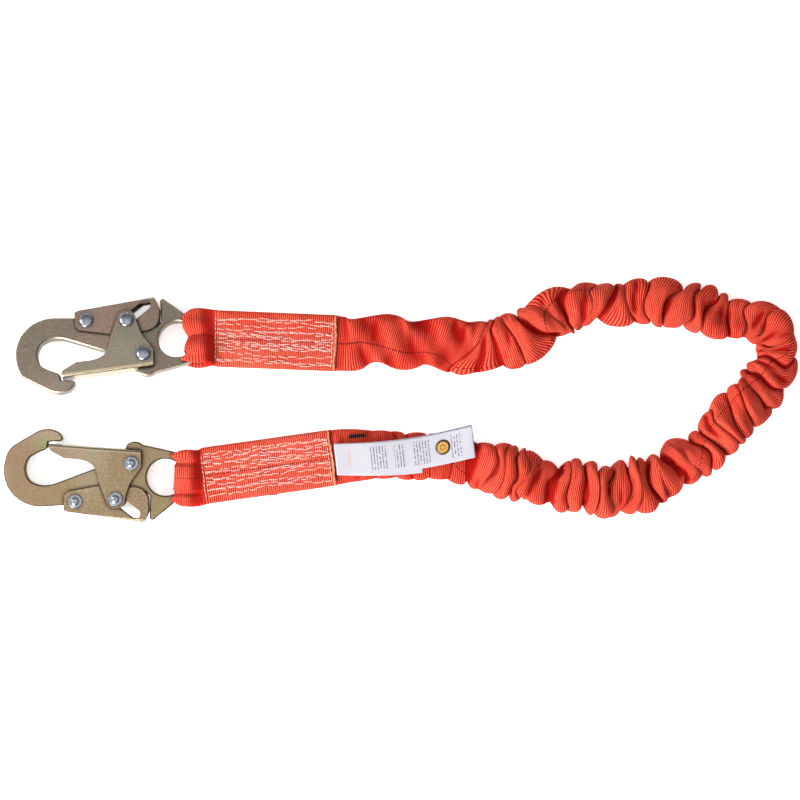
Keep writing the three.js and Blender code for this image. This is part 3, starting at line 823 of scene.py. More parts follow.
@dataclass
class Jacket:
    """The gathered tubular webbing: soft waves on the upper run, tight ruffles on the lower."""

    finishes: Finishes
    rings: int = 1500
    sides: int = 56
    seed: int = 11
    tuck: float = 1.1  # how far it runs into each sewn end
    roof_low: float = 9.6  # tallest it may stand where the label lies on it
    roof_spare: float = 24.0  # further height before the label
    roof_fall: tuple[float, float] = (588, 614)  # where that spare height runs out
    roof_ease: float = 0.25  # share of the roof over which the cloth eases up to it
    least: float = 1.4  # height under which the cloth eases down to the floor
    least_ease: float = 1.05
    stretches: list[Stretch] = field(default_factory=lambda: [
        Stretch(0, 20.2, 2.9, 34, 0.2, 0, 0),
        Stretch(14, 18.5, 3.6, 34, 0.3, 0, 0),
        Stretch(34, 17.6, 3.4, 36, 0.5, 0, -3),
        Stretch(62, 17.2, 3.4, 34, 0.6, 0, -5),
        Stretch(84, 17.0, 3.6, 26, 1.0, 40, -6),
        Stretch(100, 16.4, 4.6, 17, 3.6, 32, -11),
        Stretch(118, 15.4, 5.0, 18, 6.4, -24, -15),
        Stretch(140, 13.2, 5.2, 16, 7.4, -34, -13),
        Stretch(154, 11.6, 5.2, 15, 6.6, -30, 0),
        Stretch(172, 12.0, 5.2, 14, 7.0, 26, 7),
        Stretch(196, 9.2, 4.8, 13, 6.2, 20, 9),
        Stretch(222, 11.4, 5.0, 17, 6.4, -26, 20),
        Stretch(250, 12.4, 5.2, 17, 8.4, 30, 26),
        Stretch(282, 9.0, 4.8, 12, 7.0, -16, 26),
        Stretch(320, 9.2, 5.0, 13, 7.0, 18, 20),
        Stretch(352, 11.4, 5.4, 13, 7.6, -14, -4),
        Stretch(400, 11.0, 5.4, 12, 8.2, 16, -8),
        Stretch(430, 9.6, 5.2, 11, 9.0, -12, -4),
        Stretch(456, 9.3, 5.2, 10.5, 8.9, 14, 14),
        Stretch(490, 9.8, 5.4, 11, 9.6, 10, 24),
        Stretch(540, 9.9, 5.2, 10.5, 9.4, -12, 25),
        Stretch(580, 10.8, 5.2, 11, 9.2, 14, 24),
        Stretch(606, 13.2, 4.4, 12, 5.4, -8, 12),
        Stretch(628, 14.4, 3.4, 14, 2.4, 12, 0),
        Stretch(660, 15.4, 3.2, 16, 2.0, -14, 0),
        Stretch(690, 17.8, 3.2, 20, 1.0, 8, 0),
        Stretch(712, 20.2, 2.9, 30, 0.2, 0, 0),
    ])

    def track(self, name: str, along: np.ndarray) -> np.ndarray:
        """One of the stretches' values at lengths along the run.

        Args:
            name: the value's field.
            along: lengths in millimetres.

        Returns:
            The values, eased between stretches.
        """
        places = [row.at for row in self.stretches]
        values = [getattr(row, name) for row in self.stretches]
        reach = 5.0
        around = [np.interp(along + shift * reach, places, values) for shift in (-1, -0.5, 0, 0.5, 1)]
        return sum(around) / len(around)

    def valleys(self, length: float, dice: np.random.Generator) -> np.ndarray:
        """Places of the grooves between folds, in millimetres from the start."""
        found = [0.0]
        while found[-1] < length:
            pitch = float(self.track("pitch", np.array(found[-1])))
            found.append(found[-1] + pitch * dice.uniform(0.72, 1.3))
        found[-1] = length
        if found[-1] - found[-2] < 5:
            found.pop(-2)
        return np.array(found)

    def build(self) -> bpy.types.Object:
        """Returns:
            The jacket.
        """
        route = Route(JACKET_ROUTE, 0.0)
        dice = np.random.default_rng(self.seed)
        length = route.length / MM
        groove = self.valleys(length, dice)
        folds = len(groove) - 1
        theta = np.arange(self.sides) / self.sides * 2 * math.pi
        cos, sin = np.cos(theta), np.sin(theta)
        width = self.track("half_width", groove)
        depth = self.track("depth", groove)
        tilt = np.tan(np.radians(self.track("tilt", groove) + dice.normal(0, 10, len(groove))))
        ends = smoothstep(groove, 0, 25) * (1 - smoothstep(groove, length - 25, length))
        sway = np.zeros((len(groove), self.sides))
        for order, size in ((1, 1.9), (2, 1.4), (3, 1.0), (4, 0.5)):
            swing = dice.normal(0, size, (2, len(groove)))
            sway += swing[0][:, None] * np.cos(order * theta) + swing[1][:, None] * np.sin(order * theta)
        sway *= np.clip(depth / 5, 0.3, 1.2)[:, None]
        lines = groove[:, None] + ends[:, None] * (tilt[:, None] * (width[:, None] + 3) * cos + sway)
        for k in range(1, len(lines)):
            lines[k] = np.maximum(lines[k], lines[k - 1] + 0.3 * (groove[k] - groove[k - 1]))
        lines = np.minimum(lines, groove[-1])
        lines[-1] = groove[-1] + self.tuck
        lines[0] = -self.tuck

        level = np.interp(np.linspace(0, length, self.rings), groove, np.arange(len(groove)))
        low = np.clip(np.floor(level).astype(int), 0, folds - 1)
        part = (level - low)[:, None]
        along = lines[low] * (1 - part) + lines[low + 1] * part
        bulge = self.lobes(low, part, depth, theta, dice)
        pitch = (groove[1:] - groove[:-1])[low][:, None]
        pull = np.clip(bulge / 4.5, 0, 1) * 0.66 * pitch / (2 * math.pi)
        lean = dice.normal(0.08, 0.26, folds)[low][:, None] * bulge
        along = along - pull * np.sin(2 * math.pi * part) + lean

        half_width = self.track("half_width", along)
        half_height = self.track("half_height", along)
        drift = dice.normal(0, 1.7, len(groove))
        drift *= np.clip(depth / 5, 0, 1) * ends
        drift = (drift[low][:, None] * (1 - part) + drift[low + 1][:, None] * part)
        flat = np.sign(cos) * np.abs(cos) ** 0.85
        side = half_width * flat + bulge * cos * 0.95 + drift
        tall = half_height * np.sign(sin) * np.abs(sin) ** 0.8
        rise = tall + bulge * np.sign(sin) * np.abs(sin) ** 0.9 * np.where(sin > 0, 1.0, 0.55)
        small = self.crumples(along, theta, dice) * np.clip(self.track("depth", along) / 5, 0.15, 1)
        soft = self.billows(along, cos)
        rise = rise + small + soft[..., 0]
        side = side + soft[..., 1]
        mid = self.track("half_height", along) + 1.2 + 0.30 * self.track("depth", along)
        rise = self.eased(rise + mid, along)
        points = route.at(along * MM) + route.across(along * MM) * (side * MM)[..., None]
        points[..., 2] = rise * MM
        self.measure_room(along, side, rise, theta)
        points = self.rounded(points)
        piece = grid_piece("jacket_webbing", points, self.cloth(points, along), True, True,
                           self.finishes.jacket)
        # Painted shade in the folds: darker where a point lies below the cloth around it.
        layer = piece.data.attributes.new("Depth", "FLOAT", "POINT")
        layer.data.foreach_set("value", self.hollows(points).astype(np.float32).ravel())
        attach(piece, "webbing")
        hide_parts("jacket")
        return piece

    def eased(self, rise: np.ndarray, along: np.ndarray) -> np.ndarray:
        """Heights eased off the floor, and under the roof where the label lies.

        Args:
            rise: each point's height in millimetres.
            along: its length along the run in millimetres.

        Returns:
            The eased heights.
        """
        low = 0.35 + self.least_ease * np.exp((rise - self.least) / self.least_ease)
        rise = np.where(rise < self.least, low, rise)
        roof = self.roof_low + self.roof_spare * (1 - smoothstep(along, *self.roof_fall))
        free, soft = (1 - self.roof_ease) * roof, self.roof_ease * roof
        over = np.maximum(rise - free, 0)
        return np.minimum(rise, free) + soft * (1 - np.exp(-over / soft))

    def measure_room(self, along: np.ndarray, side: np.ndarray, rise: np.ndarray, theta: np.ndarray) -> None:
        """Finds the clear room inside the jacket at places along its run, all in millimetres.

        Args:
            along: each point's length along the run.
            side: each point's distance from the centre line.
            rise: each point's height.
            theta: the points' angles round the section.
        """
        step, margin, spread = 1.5, 3.0, 4
        window = 2 * spread + 1
        cos, sin = np.cos(theta), np.sin(theta)
        self.marks = np.arange(margin, along.max() - margin, step)

        def narrowest(mask: np.ndarray, values: np.ndarray) -> np.ndarray:
            """The least value near each place."""
            least = np.full(len(self.marks), 99.0)
            spot = np.clip(((along[:, mask] - margin) / step).round().astype(int), 0, len(least) - 1)
            np.minimum.at(least, spot.ravel(), values[:, mask].ravel())
            padded = np.pad(least, spread, mode="edge")
            least = np.min([padded[k:k + len(least)] for k in range(window)], axis=0)
            padded = np.pad(least, spread, mode="edge")
            return sum(padded[k:k + len(least)] for k in range(window)) / window

        self.left = narrowest(cos > 0.9, side)
        self.right = -narrowest(cos < -0.9, -side)
        self.roof = narrowest((sin > 0) & (np.abs(cos) < 0.75), rise)
        self.ground = -narrowest((sin < 0) & (np.abs(cos) < 0.75), -rise)

    @staticmethod
    def billows(along: np.ndarray, cos: np.ndarray) -> np.ndarray:
        """Long soft waves where the jacket lies flat beside the upper pack.

        Args:
            along: lengths along the run, in millimetres.
            cos: cosine of the angle round the section.

        Returns:
            Rise and sideways shift, in millimetres, as the last axis.
        """
        size = smoothstep(along, 3, 16) * (1 - smoothstep(along, 92, 108))
        wave = np.sin(2 * math.pi * (along - 9 * cos) / 33 + 0.4)
        cross = np.sin(2 * math.pi * (along + 13 * cos) / 21 + 1.9)
        edge = np.sin(2 * math.pi * along / 41 + np.where(cos > 0, 2.2, 0.3))
        rise = size * (2.3 * wave * (0.5 + 0.5 * np.abs(cos)) + 1.0 * cross)
        shift = size * 1.9 * edge * np.abs(cos) ** 2 * np.sign(cos)
        return np.stack([rise, shift], -1)

    def lobes(
        self, low: np.ndarray, part: np.ndarray, depth: np.ndarray, theta: np.ndarray,
        dice: np.random.Generator,
    ) -> np.ndarray:
        """Heights of the folds above the grooves' level.

        Args:
            low: each ring's fold.
            part: each ring's place in its fold, from 0 to 1.
            depth: the folds' depth at each groove.
            theta: angles round the section.
            dice: the random source.

        Returns:
            The rise in millimetres.
        """
        count = len(depth)

        def uneven(base: float, spreads: tuple[float, ...]) -> np.ndarray:
            """A level for each groove, made uneven round the section by a few waves."""
            level = np.full((count, len(theta)), base)
            for order, spread in enumerate(spreads, 1):
                phase = dice.uniform(0, 2 * math.pi, (count, 1))
                level += dice.normal(0, spread, (count, 1)) * np.cos(order * theta - phase)
            return level

        size = uneven(1.0, (0.28, 0.26, 0.16))
        size = np.clip(size, 0.35, 1.7) * depth[:, None] * dice.uniform(0.68, 1.3, (count, 1))
        merge = uneven(0.06, (0.22, 0.26, 0.20))
        merge = np.clip(merge, 0.0, 0.8) * (1 - 0.55 * np.cos(theta) ** 2)
        crest = np.sin(math.pi * np.clip(part, 0, 1)) ** 0.62
        keep = merge[low] * (1 - part) + merge[low + 1] * part
        tops = size[low] * (1 - part) + size[low + 1] * part
        return tops * (keep + (1 - keep) * crest)

    @staticmethod
    def crumples(along: np.ndarray, theta: np.ndarray, dice: np.random.Generator) -> np.ndarray:
        """Small slanting creases over the folds, in millimetres."""
        total = np.zeros_like(along)
        for pitch, turns, size in ((21, 1, 0.8), (13, 2, 0.65), (9, 3, 0.45), (6.5, -2, 0.28)):
            phase = dice.uniform(0, 2 * math.pi)
            wave = np.sin(2 * math.pi * along / pitch + turns * theta + phase)
            total += size * np.sign(wave) * np.abs(wave) ** 1.4
        return total

    @staticmethod
    def hollows(points: np.ndarray) -> np.ndarray:
        """How far each point lies below the cloth around it, from 0 on a crest to 1 in a fold; it sets the
        painted shade in the folds.
        """
        normal = np.cross(np.gradient(points, axis=0), np.roll(points, -1, 1) - np.roll(points, 1, 1))
        normal /= np.maximum(np.linalg.norm(normal, axis=-1, keepdims=True), 1e-12)
        middle = points.mean(axis=1, keepdims=True)
        normal *= np.sign(np.sum(normal * (points - middle), axis=-1, keepdims=True))
        total = np.zeros(points.shape[:2])
        for reach, share in ((4, 0.42), (10, 0.52), (28, 0.34)):
            kernel = np.hanning(2 * reach + 3)[1:-1]
            kernel /= kernel.sum()
            padded = np.pad(points, ((reach, reach), (0, 0), (0, 0)), mode="edge")
            eased = sum(weight * padded[k:k + len(points)] for k, weight in enumerate(kernel))
            total += share * np.sum((eased - points) * normal, axis=-1) / (0.16 * reach * 0.47 * MM)
        return np.clip(0.34 + 1.6 * total, 0, 1)

    @staticmethod
    def rounded(points: np.ndarray) -> np.ndarray:
        """The surface with its sharpest kinks eased along and round the section."""
        for _ in range(2):
            inner = points[1:-1] * 0.5 + (points[:-2] + points[2:]) * 0.25
            points = np.concatenate([points[:1], inner, points[-1:]])
            ring = (np.roll(points, 1, axis=1) + np.roll(points, -1, axis=1)) * 0.25
            points = points * 0.5 + ring
        return points

    def cloth(self, points: np.ndarray, along: np.ndarray) -> np.ndarray:
        """Cloth coordinates: metres of webbing along, and across from edge to edge.

        Args:
            points: the surface's points.
            along: each point's length along the run, in millimetres.

        Returns:
            The coordinates, with one more column than the points have.
        """
        quarter = self.sides // 4
        steps = np.linalg.norm(np.diff(points, axis=0), axis=2)[:, quarter - 6:quarter + 7].mean(1)
        grown = np.concatenate([[0.0], np.cumsum(steps)])
        turn = np.arange(self.sides + 1) / self.sides * 2
        twist = self.track("twist", along[:, quarter]) * MM
        u = np.repeat(grown[:, None], self.sides + 1, axis=1)
        v = turn[None, :] * WEB_WIDTH + twist[:, None]
        return np.stack([u, v], -1)


# ---- sewn ends -------------------------------------------------------------------------------
@dataclass
class SewnEnd:
    """One end of the webbing: up through the eye, round the bar and stitched back on itself."""

    number: int
    finishes: Finishes
    loop_half: float = 10.4 * MM
    rim_half: float = 17.5 * MM
    loop_thick: float = 3.0 * MM
    loop_rise: float = 7.5 * MM
    taper: tuple[float, float] = (4 * MM, 14 * MM)
    cut_short: float = 1.5 * MM
    legs_meet: float = 13 * MM  # distance from the bar at which the two legs lie together
    leg_rows: int = 90
    loop_rows: int = 60
    slope_rows: int = 15
    edge_rows: int = 2  # rows at the cut end that are melted
    columns: int = 44

    def __post_init__(self) -> None:
        """Finds the end's frames: the pack's own, and the loop's, which lies as the hook does."""
        swing = joint(f"hook_{self.number}_swing")
        gate = joint(f"hook_{self.number}_gate_open")
        bar = Vector(swing["pos_m"])
        start = JACKET_ROUTE[0] if self.number == 1 else JACKET_ROUTE[-1]
        jacket_end = Vector((start[0] * MM, start[1] * MM, JACKET_MID))
        self.length = (jacket_end - bar).length
        self.pack = frame_of(bar, jacket_end - bar, Vector((0, 0, 1)))
        up = Vector(gate["axis"])
        up = up if up.z > 0 else -up
        hinge = Vector(swing["axis"])
        self.loop = frame_of(bar, hinge.cross(up), up)
        self.hook_body = f"hook_{self.number}_frame"

    def lay(self, points: np.ndarray) -> np.ndarray:
        """Points in the pack's axes put in place; near the bar they follow the hook."""
        share = 1 - smoothstep(points[..., 0], *self.taper)[..., None]
        return laid(points, self.pack) * (1 - share) + laid(points, self.loop) * share

    def centre_line(self) -> tuple[np.ndarray, np.ndarray, np.ndarray, np.ndarray]:
        """The folded strap's middle line in the pack's axes.

        Returns:
            Its x and z (on the loop, as shares of its reach and rise), the share of the way round
            the loop from bottom to top, and which rows are on the loop.
        """
        rest = LEG / 2 + 0.15 * MM
        leg, sloped = self.leg_rows, self.slope_rows
        lower = np.linspace(self.length - 0.2 * MM, self.legs_meet, leg)
        turn = np.linspace(-math.pi / 2, math.pi / 2, self.loop_rows)
        upper = np.linspace(self.legs_meet, self.length - self.cut_short, leg)
        slope = np.linspace(self.legs_meet, 0.6 * MM, sloped + 1)[1:]
        fall = smoothstep(slope, 0.0, 11 * MM)
        height = self.loop_rise + (rest - self.loop_rise) * fall
        square = 0.62
        x = np.concatenate([lower, slope, -np.abs(np.cos(turn)) ** square, slope[::-1], upper])
        z = np.concatenate([np.full(leg, -rest), -height,
                            np.sign(np.sin(turn)) * np.abs(np.sin(turn)) ** square,
                            height[::-1], np.full(leg, rest)])
        before, after = np.zeros(leg + sloped), np.ones(sloped + leg)
        lap = np.concatenate([before, np.linspace(0, 1, self.loop_rows), after])
        loop = np.concatenate([before, np.ones(self.loop_rows), 0 * after]) > 0
        return x, z, lap, loop

    def build(self) -> bpy.types.Object:
        """Makes the folded strap.

        Returns:
            The strap.
        """
        x, z, lap, loop = self.centre_line()
        dice = np.random.default_rng(40 + self.number)
        across = np.linspace(-1, 1, self.columns)
        over = smoothstep(np.abs(lap - 0.5), 0.17, 0.27)
        rim = self.rim_half + (WEB_WIDTH / 2 - self.rim_half) * smoothstep(np.abs(lap - 0.5), 0.27, 0.5)
        half = np.where(loop, self.loop_half + (rim - self.loop_half) * over, WEB_WIDTH / 2)
        w = across[None, :] * half[:, None]
        chord = np.sqrt(np.maximum(EYE_RADIUS**2 - np.minimum(np.abs(w), self.loop_half + 0.6 * MM) ** 2, 0))
        slack = (2.2 if self.number == 1 else 1.4) * MM * over[:, None]
        reach = 0.55 * (BAR_X - chord) + 0.45 * 7.0 * MM + 0.8 * MM + self.loop_thick / 2 + slack
        lobe, pinch = self.swell(w)
        reach = reach + (1.5 * lobe - 0.7 * pinch) * MM
        flap = self.flap(w) * over[:, None]
        gx = np.where(loop[:, None], x[:, None] * (reach + flap), x[:, None])
        gz = np.where(loop[:, None], z[:, None] * self.loop_rise, z[:, None])
        near = 1 - smoothstep(x, 0.5 * MM, 11 * MM)
        near = np.where(loop, 1.0, near) * smoothstep(lap, 0.3, 0.75)
        gz = gz + near[:, None] * (2.0 * lobe - 1.3 * pinch) * MM
        lines = np.stack([gx, w, gz], -1)
        thick = np.where(loop, self.loop_thick, LEG)
        thick = np.convolve(np.pad(thick, 6, mode="edge"), np.hanning(13) / np.hanning(13).sum(), "valid")
        ragged = dice.normal(0, 0.35, self.columns) + 0.5 * np.sin(across * 4.0 + self.number)
        for back, share in ((1, 1.0), (2, 0.7), (3, 0.35)):
            lines[-back, :, 0] += share * MM * (ragged - 0.3)
        wave = self.ripple(x, across, dice) * np.where(lap >= 1, 1.0, 0.0)[:, None]
        lines[..., 2] += wave
        points, uv = self.shell(lines, thick, across)
        name = f"pack_webbing_{self.number}"
        piece = grid_piece(name, self.lay(points), uv, True, True, self.finishes.pack)
        piece.data.materials.append(self.finishes.cut)
        per_row = points.shape[1]
        # Painted shade on the slope down from the loop to the pack, and a little on the loop.
        slope = (0.3 + 0.7 * smoothstep(x, 0.5 * MM, 4.5 * MM)) * (1 - smoothstep(x, 8.5 * MM, 12.5 * MM))
        painted_shade_share = np.where(loop, 0.30 * over, slope * 0.92)
        layer = piece.data.attributes.new("Depth", "FLOAT", "POINT")
        layer.data.foreach_set("value", np.repeat(painted_shade_share, per_row).astype(np.float32))
        for face in piece.data.polygons:
            row = face.vertices[0] // per_row
            if row >= len(x) - self.edge_rows:
                face.material_index = 1
        bar = self.pack.translation
        way = (self.pack.to_3x3() @ Vector((1, 0, 0))).normalized()
        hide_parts(f"sewn_end_{self.number}")
        start, end = tuple(bar + way * 15 * MM), tuple(bar + way * 2 * MM)
        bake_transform(piece)
        return piece

    def swell(self, w: np.ndarray) -> tuple[np.ndarray, np.ndarray]:
        """Where the loop puffs out and where it is pinched: one lobe or two across its width.

        Args:
            w: distance from the strap's middle line, in metres.

        Returns:
            The lobes and the pinches, each from 0 to 1.
        """
        out = np.abs(w) / MM
        if self.number == 2:
            lobe = np.cos(math.pi / 2 * np.clip(out / 10.5, 0, 1)) ** 1.3
            return lobe, 1.8 * np.exp(-(((out - 10.9) / 1.5) ** 2))
        return np.sin(math.pi * np.clip(out / 16.5, 0, 1)) ** 2, np.exp(-((out / 2.2) ** 2))

    def flap(self, w: np.ndarray) -> np.ndarray:
        """How far the strap's outer edges lie out over the eye's rim, past its two lobes."""
        high = 4.0 * MM if self.number == 2 else 0.4 * MM
        low = 1.2 * MM if self.number == 2 else 5.0 * MM
        notch = 1.4 * MM * np.exp(-(((np.abs(w) - 12.2 * MM) / (1.3 * MM)) ** 2))
        tip = smoothstep(np.abs(w), 12.5 * MM, 16 * MM)
        return tip * np.where(w > 0, high, low) - notch

    @staticmethod
    def ripple(x: np.ndarray, across: np.ndarray, dice: np.random.Generator) -> np.ndarray:
        """Slight waves of the top leg and the pull of the stitch rows."""
        waves = np.zeros((len(x), len(across)))
        for pitch, turns, size in ((47, 0.4, 0.16), (23, -0.9, 0.10), (13, 1.7, 0.06)):
            phase = dice.uniform(0, 2 * math.pi)
            waves += size * MM * np.sin(2 * math.pi * x[:, None] / (pitch * MM) + turns * 3 * across + phase)
        rows = np.abs(np.sin((across * 0.86 + 1) * math.pi * 4))
        sewn = smoothstep(x, 22 * MM, 26 * MM)
        return waves + (0.16 * MM * rows)[None, :] * sewn[:, None]

    @staticmethod
    def shell(
        lines: np.ndarray, thick: np.ndarray, across: np.ndarray
    ) -> tuple[np.ndarray, np.ndarray]:
        """A closed section round the strap's middle surface.

        Args:
            lines: the middle surface, rows x columns x 3.
            thick: thickness at each row.
            across: columns' places from -1 to 1.

        Returns:
            Rings of points, and their cloth coordinates.
        """
        way = np.gradient(lines[..., [0, 2]], axis=0)
        way /= np.maximum(np.linalg.norm(way, axis=-1, keepdims=True), 1e-9)
        normal = np.stack([way[..., 1], np.zeros(way.shape[:2]), -way[..., 0]], -1)
        edge = (1 - np.abs(across) ** 10) ** 0.5 * 0.96 + 0.04
        lift = normal * (thick[:, None] / 2 * edge[None, :])[..., None]
        outer, inner = lines - lift, lines + lift
        ring = np.concatenate([outer, inner[:, ::-1][:, 1:-1]], axis=1)
        middle = len(across) // 2
        run = np.linalg.norm(np.diff(outer[:, middle - 5], axis=0), axis=-1)
        grown = np.concatenate([[0.0], np.cumsum(run)])
        count = ring.shape[1] + 1
        v = np.concatenate([(across + 1) / 2, 1 + (across + 1) / 2])[:count] * WEB_WIDTH
        u = np.repeat(grown[:, None], count, axis=1)
        return ring, np.stack([u, np.repeat(v[None, :], len(u), axis=0)], -1)


@dataclass
class Stitching:
    """Rows of lock stitches through a sewn end, each stitch a short bowed thread."""

    end: SewnEnd
    finishes: Finishes
    rows: int = 8
    spacing: float = 4.25 * MM
    first: float = 12.0 * MM
    end_margin: float = 5.5 * MM
    thread: float = 0.33 * MM  # radius
    doubled: float = 0.6  # share of rows with a second course beside them
    backstitched: float = 0.55  # share of stitches followed by a short step back
    edge_reach: float = 14 * MM  # half width of the row across each end
    edge_pitch: float = 3.4 * MM
    edge_stitch: float = 2.2 * MM

    def __post_init__(self) -> None:
        """Finds where the rows end."""
        self.last = self.end.length - self.end_margin

    def build(self) -> bpy.types.Object:
        """Makes the stitches on both faces as one piece.

        Returns:
            The stitches.
        """
        dice = np.random.default_rng(70 + self.end.number)
        curve = bpy.data.curves.new(f"lock_stitches_{self.end.number}", "CURVE")
        curve.dimensions = "3D"
        curve.bevel_depth = self.thread
        curve.bevel_resolution = 1
        curve.use_fill_caps = True
        for side in Side:
            for stitch in self.stitches(dice):
                self.add(curve, stitch, side)
        activate(linked(curve.name, curve))
        bpy.ops.object.convert(target="MESH")
        piece = bpy.context.object
        piece.data.materials.append(self.finishes.thread)
        piece.data.shade_smooth()
        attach(piece, "webbing")
        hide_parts(f"stitching_{self.end.number}")
        return piece

    def stitches(self, dice: np.random.Generator) -> list[np.ndarray]:
        """The stitches' courses in the pack's plane.

        Args:
            dice: the random source.

        Returns:
            For each stitch, its points' x and y.
        """
        found = []
        bases = []
        for row in range(self.rows):
            base = (row - (self.rows - 1) / 2) * self.spacing
            bases.append(base)
            if dice.uniform() < self.doubled:
                bases.append(base + dice.choice([-1, 1]) * dice.uniform(0.8, 1.5) * MM)
        for base in bases:
            phase = dice.uniform(0, 2 * math.pi)
            x = self.first + dice.uniform(0, 2) * MM
            while x < self.last:
                run = dice.uniform(4.0, 7.4) * MM
                jog = dice.choice([-1, 1]) * dice.uniform(0.25, 0.85) * MM
                sway = 0.8 * MM * math.sin(x / (16 * MM) + phase)
                tilt = dice.normal(0, 0.30) * MM
                y = base + sway + jog
                stop = min(x + run, self.last + MM)
                found.append(np.array([[x, y - tilt], [stop, y + tilt]]))
                if dice.uniform() < self.backstitched:
                    found.append(np.array([[stop, y + tilt], [stop + 0.25 * MM, y + tilt - 1.5 * jog]]))
                x += run + dice.uniform(0.2, 1.3) * MM
        for x in (self.first - 0.6 * MM, self.last + 1.2 * MM):
            y = -self.edge_reach - 0.5 * MM
            while y < self.edge_reach:
                found.append(np.array([[x, y], [x + dice.normal(0, 0.3) * MM, y + self.edge_stitch]]))
                y += self.edge_pitch
        return found

    def add(self, curve: bpy.types.Curve, ends: np.ndarray, side: Side) -> None:
        """Adds one stitch, bowed out of the cloth and diving into it at both ends.

        Args:
            curve: the curve that holds the stitches.
            ends: the stitch's ends in the pack's plane.
            side: the face that it lies on.
        """
        share = np.array([0.0, 0.12, 0.5, 0.88, 1.0])
        flat = ends[0] + (ends[1] - ends[0]) * share[:, None]
        height = LEG + 0.15 * MM
        bow = np.array([-0.55, 0.12, 0.30, 0.12, -0.55]) * MM
        points = np.column_stack([flat, side.value * (height + bow)])
        placed = self.end.lay(points)
        placed[:, 2] = np.maximum(placed[:, 2], self.thread)
        spline = curve.splines.new("POLY")
        spline.points.add(len(placed) - 1)
        for knot, point in zip(spline.points, placed):
            knot.co = (*point, 1.0)


# ---- hooks -----------------------------------------------------------------------------------
# Slots: the piece's own finish, a lighter copy as painted highlight on bends and webs, and a dark rim as
# painted shade.
OWN_FINISH, BEND_HIGHLIGHT, RIM = 0, 1, 2  # a steel piece's material slots
FACES_AXIS = 0.95  # least component of the normal of a face that looks along an axis
CHAMFER_LEAN = (0.2, 0.93)  # range of that component on the forged body's chamfers


